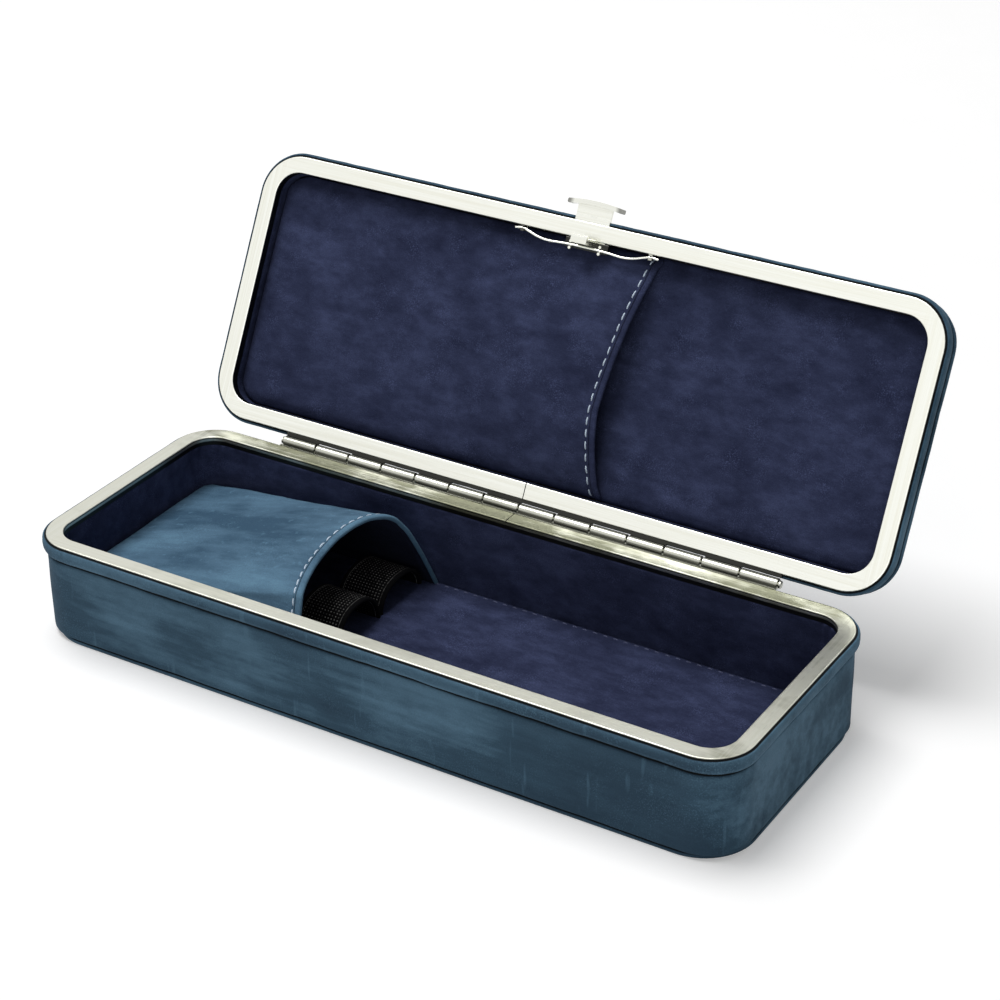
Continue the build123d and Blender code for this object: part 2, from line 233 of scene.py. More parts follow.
class PENCASE_PG_stage(bpy.types.PropertyGroup):
    """The camera's place and the studio's light."""

    azimuth: turn("Azimuth", "Direction of the camera round the case", 31.2426)
    elevation: turn("Elevation", "Height of the camera over the floor", 28.9691)
    roll: turn("Roll", "Turn of the camera about its own axis", -0.3325)
    distance: size("Distance", "Distance from the camera to its target", 668.74)
    target_y: place("Target Y", "Y of the point that the camera looks at", 42.26)
    target_z: place("Target Z", "Z of the point that the camera looks at", 31.82)
    lens: share("Lens", "Focal length in millimetres, for a 36 mm sensor", 93.463, 500.0)
    shift_x: number("Shift X", "Sideways shift of the view", -0.0262)
    shift_y: number("Shift Y", "Upward shift of the view", -0.0084)
    sky: share("Sky", "Light from all round", 0.2, 10.0)
    key: share("Key light", "Power of the large lamp overhead, in watts", 30.0, 1000.0)
    fill: share("Fill light", "Power of the lamp at the front, in watts", 2.3, 1000.0)
    floor: colour("Floor", "Colour of the floor", 236, 236, 236)
    glow: share("Floor glow", "What the camera sees added to the floor's own light", 0.3)


# Plan outline of the case


def stations(half, corner, step, corner_steps, marks=()):
    """Places along one side: (middle of the straight part, share of the corner) pairs."""
    straight = half - corner
    count = max(2, math.ceil(2 * straight / step))
    inner = np.linspace(-straight, straight, count + 1)
    if len(marks):
        inner = np.unique(np.round(np.concatenate([inner, np.array(marks)]), 4))
    shares = np.linspace(0, 1, corner_steps + 1)[1:]
    ends = np.full(corner_steps, straight)
    corners = np.concatenate([-shares[::-1], np.zeros(len(inner)), shares])
    return np.concatenate([-ends, inner, ends]), corners


def round_trip(columns, rows):
    """Indices of a grid's points round its edge, anticlockwise seen from above."""
    last_column = columns - 1
    last_row = rows - 1
    trip = [(i, 0) for i in range(last_column)]
    trip += [(last_column, j) for j in range(last_row)]
    trip += [(i, last_row) for i in range(last_column, 0, -1)]
    trip += [(0, j) for j in range(last_row, 0, -1)]
    return [i * rows + j for i, j in trip]


class Plan:
    """A rounded rectangle whose points match at every inset."""

    def __init__(self, length, width, corner, step=2.0, corner_steps=7, marks=()):
        self.corner = corner
        self.half = (length / 2, width / 2)
        x_middles, x_corners = stations(length / 2, corner, step, corner_steps, marks)
        y_middles, y_corners = stations(width / 2, corner, step, corner_steps)
        self.columns = len(x_middles)
        self.rows = len(y_middles)
        across, up = np.meshgrid(x_corners, y_corners, indexing="ij")
        self.middles = np.dstack(np.meshgrid(x_middles, y_middles, indexing="ij"))
        self.ways = np.dstack([across * np.sqrt(1 - up**2 / 2), up * np.sqrt(1 - across**2 / 2)])
        self.trip = round_trip(self.columns, self.rows)

    def filled(self, inset, surface):
        """Points that fill the outline at an inset, with their heights from a surface."""
        flat = self.middles + self.ways * (self.corner - inset)
        return np.dstack([flat, surface(flat[:, :, 0], flat[:, :, 1])])

    def edge(self, outs):
        """Points of the outline pushed out by each of outs, and the way out at each."""
        middles = self.middles.reshape(-1, 2)[self.trip]
        ways = self.ways.reshape(-1, 2)[self.trip]
        reach = self.corner + np.asarray(outs, float)
        return middles[:, None, :] + ways[:, None, :] * reach[None, :, None], ways

    def rings(self, profile, reshape=None):
        """A profile of (out, height, shade value) carried round the outline: its points and shade
        values, which are rubbing above 0 and painted shade below 0.
        """
        outs, heights, rub_and_shade_rows = (np.array(column, float) for column in zip(*profile))
        flat, ways = self.edge(outs)
        points = np.dstack([flat, np.broadcast_to(heights, flat.shape[:2])])
        if reshape:
            points = reshape(points, ways)
        return points, np.broadcast_to(rub_and_shade_rows, points.shape[:2])

    def depth(self, x, y):
        """How far points lie inside the outline."""
        corner_x = np.abs(x) - (self.half[0] - self.corner)
        corner_y = np.abs(y) - (self.half[1] - self.corner)
        outside = np.hypot(np.maximum(corner_x, 0), np.maximum(corner_y, 0))
        inside = np.minimum(np.maximum(corner_x, corner_y), 0)
        return self.corner - outside - inside


# Meshes


def ripple(points, scale, seed):
    """Soft noise from -1 to 1 at each point, the same on each run."""
    shift = Vector((17.3, 5.9, 11.1)) * seed
    flat = points.reshape(-1, 3)
    values = [noise.fractal(Vector(p) / scale + shift, 1.0, 2.0, 3) for p in flat]
    return np.array(values).reshape(points.shape[:-1])


def ripples(points, *waves):
    """Several such noises added, each given by its height, scale and seed."""
    return sum(height * ripple(points, scale, seed) for height, scale, seed in waves)


def bump(value, middle, width):
    """A rounded hump of height 1 about a middle."""
    return np.exp(-(((value - middle) / width) ** 2))


def ease(value):
    """A smooth step from 0 to 1."""
    value = np.clip(value, 0, 1)
    return value * value * (3 - 2 * value)


def between(start, stop, part):
    """A value a part of the way from start to stop."""
    return start + (stop - start) * part


def level_with(height):
    """A flat surface at a height."""
    return lambda x, y: np.full(x.shape, height)


def unit(vectors):
    """Vectors brought to a length of 1."""
    return vectors / np.maximum(np.linalg.norm(vectors, axis=-1, keepdims=True), 1e-9)


def link(name, data):
    """A new object in the scene."""
    made = bpy.data.objects.new(name, data)
    bpy.context.scene.collection.objects.link(made)
    return made


def attribute(mesh, name, values):
    """Gives each of a mesh's points a number, or a vector where values has three columns."""
    vector = np.ndim(values) == 2
    layer = mesh.attributes.new(name, "FLOAT_VECTOR" if vector else "FLOAT", "POINT")
    flat = np.asarray(values, np.float32).ravel()
    layer.data.foreach_set("vector" if vector else "value", flat)


def make_object(name, points, faces, worn, strip=None, far=None):
    """An object from points in millimetres, closed and with its faces outwards."""
    mesh = bpy.data.meshes.new(name)
    mesh.from_pydata((points * MM).tolist(), [], faces)
    # The attribute holds rubbing above 0 and painted shade below 0.
    attribute(mesh, "worn", worn)
    if strip is not None:
        attribute(mesh, "strip", strip)
    if far is not None:
        mesh.polygons.foreach_set("material_index", far)
    solid = bmesh.new()
    solid.from_mesh(mesh)
    bmesh.ops.remove_doubles(solid, verts=solid.verts, dist=2e-6)
    bmesh.ops.recalc_face_normals(solid, faces=solid.faces)
    solid.to_mesh(mesh)
    solid.free()
    mesh.polygons.foreach_set("use_smooth", [True] * len(mesh.polygons))
    mesh.update()
    return link(name, mesh)


def wall_faces(loops):
    """Faces between each closed loop of indices and the next."""
    faces = []
    for first, second in zip(loops, loops[1:]):
        for n in range(len(first)):
            after = (n + 1) % len(first)
            faces.append((first[n], first[after], second[after], second[n]))
    return faces


def grid_faces(columns, rows, start=0):
    """Faces of a grid of points."""
    corners = [start + i * rows + j for i in range(columns - 1) for j in range(rows - 1)]
    return [(corner, corner + rows, corner + rows + 1, corner + 1) for corner in corners]


def ring_object(name, plan, profile, reshape=None):
    """A closed ring: a profile of (out, height, rubbing above 0 and painted shade below 0) carried
    round the outline.
    """
    points, worn = plan.rings(profile, reshape)
    turns, levels = worn.shape
    loops = [[n * levels + level for n in range(turns)] for level in range(levels)]
    faces = wall_faces(loops + loops[:1])
    return make_object(name, points.reshape(-1, 3), faces, worn.ravel())


def shell_object(name, plan, upper, rows, lower, reshape=None):
    """A closed shell: rows of (out, height, rubbing above 0 and painted shade below 0) between two
    (inset, surface) fillings.
    """
    ring, worn = plan.rings(rows, reshape)
    turns, levels = worn.shape
    area = plan.columns * plan.rows
    faces = grid_faces(plan.columns, plan.rows) + grid_faces(plan.columns, plan.rows, area)
    loops = [plan.trip]
    loops += [[2 * area + n * levels + level for n in range(turns)] for level in range(levels)]
    loops.append([area + index for index in plan.trip])
    faces += wall_faces(loops)
    points = [plan.filled(*upper), plan.filled(*lower), ring]
    points = np.concatenate([part.reshape(-1, 3) for part in points])
    worn = np.concatenate([np.full(2 * area, FLAT_WEAR), worn.ravel()])
    return make_object(name, points, faces, worn)


def grid_normals(points, behind):
    """Unit normals of a grid of points, on the side away from a point behind it."""
    normals = unit(np.cross(np.gradient(points, axis=0), np.gradient(points, axis=1)))
    away = np.sum(normals * (points - np.array(behind, float)))
    return normals if away > 0 else -normals


def sheet_object(name, good_side, normals, thickness, strip=None, rubs=0.0):
    """A sheet as thick as said behind a grid of points, with rounded edges.

    Its far side has material number 1, for a sheet whose two sides differ, and the row values give
    how rubbed each row of its good side is, with painted shade below 0.
    """
    columns, rows = good_side.shape[:2]
    far_side = good_side - normals * thickness
    along = unit(np.gradient(good_side, axis=0))
    across = unit(np.gradient(good_side, axis=1))
    outward = np.zeros_like(good_side)
    outward[0] -= along[0]
    outward[-1] += along[-1]
    outward[:, 0] -= across[:, 0]
    outward[:, -1] += across[:, -1]
    trip = round_trip(columns, rows)
    area = columns * rows
    centres = ((good_side + far_side) / 2).reshape(-1, 3)[trip]
    lifts = normals.reshape(-1, 3)[trip]
    pushes = unit(outward.reshape(-1, 3)[trip])
    points = [good_side.reshape(-1, 3), far_side.reshape(-1, 3)]
    loops = [trip]
    for angle in (45, 90, 135):
        lift = math.cos(math.radians(angle)) * thickness / 2
        push = math.sin(math.radians(angle)) * thickness / 2
        start = 2 * area + (len(loops) - 1) * len(trip)
        loops.append([start + n for n in range(len(trip))])
        points.append(centres + lifts * lift + pushes * push)
    loops.append([area + n for n in trip])
    faces = grid_faces(columns, rows) + grid_faces(columns, rows, area) + wall_faces(loops)
    one_side = (columns - 1) * (rows - 1)
    far = np.zeros(len(faces), np.int32)
    far[one_side : 2 * one_side] = 1
    worn = np.concatenate([np.zeros(2 * area), np.full(3 * len(trip), SHEET_EDGE_WEAR)])
    worn[:area] = np.repeat(np.broadcast_to(rubs, columns), rows)
    if strip is not None:
        flat = strip.reshape(-1, 3)
        strip = np.concatenate([flat, flat] + 3 * [flat[trip]])
    return make_object(name, np.concatenate(points), faces, worn, strip, far)


def smooth_arch(points, steps=14):
    """A smooth line through a few points, with as many steps between each two."""
    points = np.array(points, float)
    ends = [2 * points[0] - points[1], *points, 2 * points[-1] - points[-2]]
    fine = []
    for before, start, stop, after in zip(ends, ends[1:], ends[2:], ends[3:]):
        for t in np.linspace(0, 1, steps, endpoint=False):
            line = 2 * start + (stop - before) * t
            line = line + (2 * before - 5 * start + 4 * stop - after) * t**2
            line = line + (3 * start - before - 3 * stop + after) * t**3
            fine.append(line / 2)
    fine.append(points[-1])
    return np.array(fine)


def grid_area(points):
    """The area of a grid's surface in square metres."""
    along = np.diff(points, axis=0)[:, :-1]
    across = np.diff(points, axis=1)[:-1]
    return float(np.linalg.norm(np.cross(along, across), axis=2).sum()) * MM * MM


def longest(points, axis):
    """The longest line of a grid along one of its axes, in metres."""
    steps = np.linalg.norm(np.diff(points, axis=axis), axis=2)
    return float(steps.sum(axis=axis).max()) * MM


# Nodes


def add_sockets(tree, way, sockets):
    """Gives a group its named sockets of (kind, default) pairs, as its inputs or outputs."""
    for label, (kind, value) in sockets.items():
        kind = "NodeSocket" + kind
        socket = tree.interface.new_socket(name=label, in_out=way, socket_type=kind)
        if value is not None:
            socket.default_value = value


class Graph:
    """Adds nodes to a tree and joins them."""

    def __init__(self, tree):
        self.tree = tree

    def feed(self, socket, value):
        """Links an output to a socket, or sets the socket's own value."""
        if isinstance(value, bpy.types.NodeSocket):
            self.tree.links.new(value, socket)
        else:
            socket.default_value = value

    def node(self, kind, feeds=None, **settings):
        """One node, its settings made before its sockets are fed."""
        made = self.tree.nodes.new(kind)
        row, column = divmod(len(self.tree.nodes), 12)
        made.location = (200 * column, -220 * row)
        for key, value in settings.items():
            setattr(made, key, value)
        for key, value in (feeds or {}).items():
            self.feed(made.inputs[key], value)
        return made

    def out(self, kind, feeds=None, which=0, **settings):
        """One output of a new node."""
        return self.node(kind, feeds, **settings).outputs[which]

    def ends(self):
        """The inputs that a group is given and the outputs that it feeds."""
        return self.node("NodeGroupInput").outputs, self.node("NodeGroupOutput").inputs

    def sum(self, operation, first, second=0.0, clamp=False):
        """The result of a sum on two values."""
        feeds = {0: first, 1: second}
        return self.out("ShaderNodeMath", feeds, operation=operation, use_clamp=clamp)

    def times(self, first, second, clamp=False):
        """Two values multiplied."""
        return self.sum("MULTIPLY", first, second, clamp)

    def plus(self, first, second, clamp=False):
        """Two values added."""
        return self.sum("ADD", first, second, clamp)

    def less(self, first, second):
        """One value less another."""
        return self.sum("SUBTRACT", first, second)

    def most(self, first, second):
        """The larger of two values."""
        return self.sum("MAXIMUM", first, second)

    def weigh(self, first, second, part):
        """A part of one value and the rest of another."""
        return self.plus(self.times(first, part), self.times(second, 1 - part))

    def away(self, value):
        """How far a value lies from 0."""
        return self.sum("ABSOLUTE", value)

    def span(self, value, low, high, to_low=0.0, to_high=1.0):
        """A value carried from one range to another, held at its ends."""
        feeds = {0: value, 1: low, 2: high, 3: to_low, 4: to_high}
        return self.out("ShaderNodeMapRange", feeds, clamp=True)

    def blend(self, factor, first, second, kind="MIX"):
        """Two colours mixed."""
        feeds = {0: factor, 6: first, 7: second}
        return self.out("ShaderNodeMix", feeds, 2, data_type="RGBA", blend_type=kind)

    def three_tones(self, tone, start, low, high):
        """A group's three colours, from dark to pale, over two spans of a tone."""
        mixed = self.blend(self.span(tone, *low), start["Dark"], start["Middle"])
        return self.blend(self.span(tone, *high), mixed, start["Pale"])

    def shaded(self, colour_value, tone):
        """A colour made darker or paler by a tone."""
        grey = self.out("ShaderNodeCombineColor", {0: tone, 1: tone, 2: tone})
        return self.blend(1.0, colour_value, grey, "MULTIPLY")

    def move(self, operation, vector, other, which=0):
        """The result of a sum on two vectors."""
        feeds = {0: vector, 1: other}
        return self.out("ShaderNodeVectorMath", feeds, which, operation=operation)

    def stretch(self, vector, *amounts):
        """A vector scaled on each axis."""
        return self.move("MULTIPLY", vector, amounts)

    def parts(self, vector):
        """A vector's three parts."""
        return self.node("ShaderNodeSeparateXYZ", {0: vector}).outputs

    def joined(self, **parts):
        """A vector from some of its parts."""
        return self.out("ShaderNodeCombineXYZ", {key.upper(): parts[key] for key in parts})

    def clouds(self, vector, scale, detail=3.0, rough=0.5):
        """Noise from 0 to 1 with about that many features to the metre."""
        feeds = {"Vector": vector, "Scale": scale, "Detail": detail, "Roughness": rough}
        return self.out("ShaderNodeTexNoise", feeds, "Fac")


def once(make):
    """Lets a material or group be made only once, and be found by its name after that."""

    def find(name, *values, **more):
        for kept in (bpy.data.materials, bpy.data.node_groups):
            if name in kept:
                return kept[name]
        return make(name, *values, **more)

    return find


def effect_group(name, **sockets):
    """A group that turns a position, colours and amounts into a colour, roughness and height."""
    tree = bpy.data.node_groups.new(name, "ShaderNodeTree")
    kinds = {tuple: "Color", float: "Float"}
    inputs = {label: (kinds[type(value)], value) for label, value in sockets.items()}
    add_sockets(tree, "INPUT", {"Vector": ("Vector", None), **inputs})
    outputs = {"Color": ("Color", None), "Roughness": ("Float", None), "Height": ("Float", None)}
    add_sockets(tree, "OUTPUT", outputs)
    graph = Graph(tree)
    return graph, *graph.ends()


# Effects that several materials share


@once
def nubuck_group(name):
    """Waxed nubuck: clouds and streaks of three colours, rubbed places, painted shade in folds and
    seams, and a fine grain.
    """
    graph, start, end = effect_group(
        name,
        Dark=(0.02, 0.04, 0.07, 1),
        Middle=(0.05, 0.1, 0.15, 1),
        Pale=(0.1, 0.16, 0.2, 1),
        Streaks=0.5,
        Speckle=0.3,
        Worn=0.0,
    )
    vector = start["Vector"]
    pale = start["Pale"]
    # Above 0 the attribute is rubbing; below 0 it is painted shade in folds and seams.
    rub = graph.most(start["Worn"], 0.0)
    painted_crease_shade = graph.most(graph.times(start["Worn"], -1.0), 0.0)
    shifted = graph.move("ADD", vector, (2.6, 0.2, 0.9))
    broad = graph.clouds(graph.stretch(shifted, 0.4, 1, 1), 42, 5, 0.66)
    streak = graph.clouds(graph.stretch(vector, 0.07, 1, 1), 330, 4, 0.6)
    hand = graph.clouds(shifted, 15, 2, 0.5)
    grain = graph.clouds(vector, 2600, 3, 0.65)
    pores = graph.clouds(vector, 900, 2, 0.5)
    pull = graph.times(graph.less(streak, 0.5), start["Streaks"])
    tone = graph.plus(graph.weigh(broad, hand, 0.65), pull)
    mixed = graph.three_tones(tone, start, (0.4, 0.5), (0.5, 0.62))
    patch = graph.span(graph.clouds(vector, 70, 4, 0.7), 0.46, 0.6)
    dots = graph.times(graph.span(grain, 0.52, 0.66), patch)
    mixed = graph.blend(graph.times(dots, start["Speckle"]), mixed, pale)
    scratch = graph.clouds(graph.stretch(vector, 1, 1, 0.12), 420, 2, 0.5)
    mixed = graph.blend(graph.times(graph.span(scratch, 0.64, 0.72), 0.45), mixed, pale)
    rubbed = graph.times(rub, graph.span(broad, 0.3, 0.62, 0.25, 0.9))
    mixed = graph.blend(rubbed, mixed, pale)
    # Painted shade: the leather goes near black where the attribute is below 0.
    mixed = graph.blend(graph.span(painted_crease_shade, 0.1, 0.8), mixed, (0.0025, 0.004, 0.005, 1))
    mixed = graph.shaded(mixed, graph.span(grain, 0.3, 0.7, 0.86, 1.1))
    graph.feed(end["Color"], mixed)
    graph.feed(end["Roughness"], graph.span(tone, 0.35, 0.65, 0.92, 0.7))
    graph.feed(end["Height"], graph.weigh(grain, pores, 0.55))
    return graph.tree


@once
def suede_group(name):
    """Suede: soft clouds where the nap turns, short brush marks and loose bright fibres."""
    graph, start, end = effect_group(
        name,
        Dark=(0.01, 0.015, 0.05, 1),
        Middle=(0.03, 0.035, 0.1, 1),
        Pale=(0.06, 0.07, 0.18, 1),
        Fibres=0.4,
    )
    vector = start["Vector"]
    broad = graph.clouds(vector, 48, 4, 0.6)
    marks = graph.clouds(graph.stretch(vector, 0.5, 1, 1), 260, 4, 0.65)
    fibre = graph.clouds(vector, 3200, 3, 0.7)
    tone = graph.weigh(broad, marks, 0.45)
    mixed = graph.three_tones(tone, start, (0.36, 0.5), (0.5, 0.66, 0.0, 0.6))
    nests = graph.span(graph.clouds(vector, 130, 3, 0.6), 0.5, 0.68)
    loose = graph.times(graph.span(fibre, 0.52, 0.62), nests)
    mixed = graph.blend(graph.times(loose, start["Fibres"]), mixed, start["Pale"])
    mixed = graph.shaded(mixed, graph.span(fibre, 0.3, 0.7, 0.78, 1.18))
    graph.feed(end["Color"], mixed)
    graph.feed(end["Roughness"], graph.span(tone, 0.35, 0.65, 1.0, 0.88))
    graph.feed(end["Height"], graph.weigh(fibre, marks, 0.7))
    return graph.tree


@once
def brushed_group(name):
    """Metal brushed along its rails, with tarnished smears, and near black where its painted shade
    is 1.
    """
    graph, start, end = effect_group(
        name,
        Bright=(0.8, 0.8, 0.75, 1),
        Dull=(0.5, 0.5, 0.45, 1),
        Tarnish=(0.3, 0.3, 0.2, 1),
        Crosswise=0.0,
        Edge=0.0,
        Smears=0.5,
        Roughest=0.45,
    )
    vector = start["Vector"]
    ways = []
    for amounts in ((0.012, 1, 1), (1, 0.012, 0.012)):
        drawn = graph.stretch(vector, *amounts)
        fine = graph.clouds(drawn, 3000, 2, 0.6)
        ways.append(graph.weigh(fine, graph.clouds(drawn, 900, 3, 0.6), 0.45))
    change = graph.less(ways[1], ways[0])
    lines = graph.plus(ways[0], graph.times(change, start["Crosswise"]))
    tone = graph.span(lines, 0.36, 0.6)
    smear = graph.clouds(graph.stretch(vector, 0.6, 1, 1), 48, 4, 0.65)
    smear = graph.plus(smear, graph.times(graph.less(lines, 0.5), 0.5))
    low = graph.less(0.66, graph.times(start["Smears"], 0.26))
    dulled = graph.span(smear, low, graph.plus(low, 0.2))
    dulled = graph.times(dulled, start["Smears"], True)
    mixed = graph.blend(graph.span(tone, 0, 1, 0.3, 1), start["Dull"], start["Bright"])
    mixed = graph.blend(dulled, mixed, start["Tarnish"])
    # Painted shade: near black where the mask is 1.
    mixed = graph.blend(start["Edge"], mixed, (0.012, 0.012, 0.012, 1))
    graph.feed(end["Color"], mixed)
    rough = graph.times(start["Roughest"], graph.span(tone, 0, 1, 1.0, 0.75))
    graph.feed(end["Roughness"], graph.plus(rough, graph.times(dulled, 0.1)))
    graph.feed(end["Height"], lines)
    return graph.tree


# Where an effect shows


def rub_and_painted_shade(graph, vector):
    """How rubbed each point of a piece is above 0, and below 0 how dark the painted shade in a
    fold or seam is.

    Like all of these it is given a graph and a position, though it reads only the piece.
    """
    return graph.out("ShaderNodeAttribute", None, "Fac", attribute_name="worn")


def rail_turn(graph, vector):
    """1 on the frames' short rails, which are brushed the other way."""
    end = RIM_HIGH.x
    return graph.span(graph.away(graph.parts(vector)[0]), end - 7.5 * MM, end - 3.5 * MM)


def rail_smears_and_painted_shade(graph, vector):
    """Tarnish smears of the base's frame, thick along the hinge as painted shade for the open
    lid's dark reflection, and at the right.
    """
    parts = graph.parts(vector)
    rear = graph.span(parts[1], RIM_HIGH.y - 9.5 * MM, RIM_HIGH.y - 3.5 * MM, 0.45, 1.25)
    right = graph.span(parts[0], RIM_HIGH.x - 30 * MM, RIM_HIGH.x - 4 * MM, 0.0, 0.85)
    return graph.most(rear, right)


def painted_shade_below_face(point, upward, start, full):
    """A mask of painted shade for a metal part's turned-down edges: how far below its face a point
    lies.
    """

    def mask(graph, vector):
        level = graph.move("DOT_PRODUCT", vector, tuple(upward), 1)
        depth = graph.less(point.dot(upward), level)
        return graph.span(depth, start * MM, full * MM, 0.0, DARKEST_PAINTED_SHADE)

    return mask


def lip_painted_shade(graph, vector):
    """Painted shade on the base frame's edges: black outside, and in dark lines on its turned-down
    lip.
    """
    parts = graph.parts(vector)
    depth = graph.less(RIM_HIGH.z, parts[2])
    outer = graph.span(depth, 0.12 * MM, 0.3 * MM)
    above = graph.span(depth, 0.25 * MM, 0.38 * MM)
    line = graph.less(above, graph.span(depth, 0.5 * MM, 0.65 * MM))
    under = graph.plus(line, graph.span(depth, 1.1 * MM, 1.35 * MM), True)
    within = []
    for part, half in zip(parts, (RIM_HIGH.x, RIM_HIGH.y)):
        edge = half - bpy.context.scene.pencase_body.flange
        within.append(graph.span(graph.away(part), edge + 0.1 * MM, edge + 0.3 * MM, 1.0, 0.0))
    feeds = {0: graph.times(*within), 2: outer, 3: under}
    dark = graph.out("ShaderNodeMix", feeds, data_type="FLOAT")
    return graph.times(dark, DARKEST_PAINTED_SHADE)


def knuckle_painted_shade(graph, vector):
    """Painted shade on the hinge where its barrel meets the lid's frame and the base's."""
    parts = graph.parts(graph.move("SUBTRACT", vector, tuple(HINGE["pos_m"])))
    round_axis = graph.joined(y=parts[1], z=parts[2])
    length = graph.out("ShaderNodeVectorMath", {0: round_axis}, 1, operation="LENGTH")
    up_lid = swing().to_3x3() @ Vector((0, -1, 0))
    lean = graph.move("DOT_PRODUCT", round_axis, tuple(up_lid), 1)
    upper = graph.span(graph.sum("DIVIDE", lean, length), 0.55, 0.8)
    front = graph.sum("DIVIDE", graph.times(parts[1], -1.0), length)
    return graph.times(graph.most(upper, graph.span(front, 0.86, 0.97, 0.0, 0.7)), 0.95)


def dark_ends(graph, vector):
    """Painted shade on the thumb bar's two ends: how dark they are."""
    return graph.span(graph.away(graph.parts(vector)[0]), 6 * MM, 7.2 * MM, 0.05, 0.7)


def dark_left(graph, vector):
    """How dark the spring's eyes are: the left one lies in shadow."""
    return graph.span(graph.parts(vector)[0], -MM, MM, 0.9, 0.2)


# Materials


def solid(value):
    """A property's colour with full alpha."""
    return (value[0], value[1], value[2], 1.0)


def toward(start, stop, part):
    """A colour carried a part of the way to another, with full alpha."""
    return solid([a + (b - a) * part for a, b in zip(start, stop)])


def new_material(name):
    """A material with its graph, its main shader's sockets and its object coordinates."""
    made = bpy.data.materials.new(name)
    made.use_nodes = True
    graph = Graph(made.node_tree)
    shader = made.node_tree.nodes["Principled BSDF"].inputs
    return made, graph, shader, graph.out("ShaderNodeTexCoord", None, "Object")


def dress(graph, shader, tint, rough, height, strength, distance):
    """Feeds a shader's colour, roughness and relief."""
    graph.feed(shader["Base Color"], tint)
    graph.feed(shader["Roughness"], rough)
    feeds = {"Strength": strength, "Distance": distance, "Height": height}
    graph.feed(shader["Normal"], graph.out("ShaderNodeBump", feeds))


def effect_material(name, group, relief, feeds, fixed):
    """A material that shows an effect, with a relief of (strength, distance).

    A feed may be a function that gives it from the graph and the position.
    """
    made, graph, shader, vector = new_material(name)
    effect = graph.node("ShaderNodeGroup", node_tree=group)
    for key, value in {"Vector": vector, **feeds}.items():
        graph.feed(effect.inputs[key], value(graph, vector) if callable(value) else value)
    dress(graph, shader, *effect.outputs, *relief)
    for key, value in fixed.items():
        shader[key].default_value = value
    return made


def nap(specular, weight, rough, tint):
    """The soft sheen of a surface with a nap."""
    return {
        "Specular IOR Level": specular,
        "Sheen Weight": weight,
        "Sheen Roughness": rough,
        "Sheen Tint": tint,
    }


@once
def leather(name, kind, streaks, speckle):
    """Nubuck in three colours of a kind, the outside's or the flap's."""
    look = bpy.context.scene.pencase_finish
    feeds = {
        "Dark": solid(getattr(look, kind + "_dark")),
        "Middle": solid(getattr(look, kind)),
        "Pale": solid(getattr(look, kind + "_pale")),
        "Streaks": streaks,
        "Speckle": speckle,
        "Worn": rub_and_painted_shade,
    }
    sheen = nap(0.12, 0.04, 0.5, (0.7, 0.82, 0.9, 1))
    return effect_material(name, nubuck_group("Waxed nubuck"), (0.35, 0.0002), feeds, sheen)


def outside_leather():
    """The leather of the base, the lid and the bottom."""
    return leather("waxed_nubuck", "leather", 0.22, 0.4)


def band_leather():
    """The same leather rolled round the frames, more rubbed."""
    return leather("rolled_nubuck", "leather", 0.15, 0.8)


@once
def suede(name, dark=0.0):
    """The navy lining, carried a part of the way to the flap's dark underside."""
    look = bpy.context.scene.pencase_finish
    feeds = {
        "Dark": toward(look.suede_dark, look.underside, dark),
        "Middle": toward(look.suede, look.underside, dark),
        "Pale": toward(look.suede_pale, look.underside, dark),
        "Fibres": 0.8,
    }
    sheen = nap(0.05, 0.02, 0.4, (0.5, 0.55, 0.85, 1))
    return effect_material(name, suede_group("Suede nap"), (0.5, 0.00025), feeds, sheen)


@once
def metal(name, smears, roughest, dark=None, rails=True, aged=0.0):
    """Pale brushed metal, darkened a part of the way to its tarnish as painted shade; dark is a
    mask of painted shade.
    """
    look = bpy.context.scene.pencase_finish
    feeds = {
        "Bright": toward(look.metal, look.tarnish, aged),
        "Dull": toward(look.metal_dull, look.tarnish, aged),
        "Tarnish": solid(look.tarnish),
        "Smears": smears,
        "Roughest": roughest,
    }
    if rails:
        feeds["Crosswise"] = rail_turn
    # The mask of painted shade, which turns the metal near black.
    if dark is not None:
        feeds["Edge"] = dark
    group = brushed_group("Brushed metal")
    return effect_material(name, group, (0.2, 0.00005), feeds, {"Metallic": 1.0})


@once
def twisted_thread(name, tint):
    """Twisted thread: slanting plies and a little dirt."""
    made, graph, shader, vector = new_material(name)
    feeds = {"Vector": vector, "Scale": 900.0, "Distortion": 1.5, "Detail": 2.0}
    plies = graph.out("ShaderNodeTexWave", feeds, "Fac", bands_direction="DIAGONAL")
    dirt = graph.clouds(vector, 500, 2, 0.5)
    dark = solid([0.45 * value for value in tint])
    mixed = graph.blend(graph.span(plies, 0, 1, 0.45, 1), dark, solid(tint))
    mixed = graph.blend(graph.span(dirt, 0.5, 0.75, 0, 0.5), mixed, dark)
    dress(graph, shader, mixed, graph.span(plies, 0, 1, 0.8, 0.55), plies, 0.4, 0.0001)
    return made


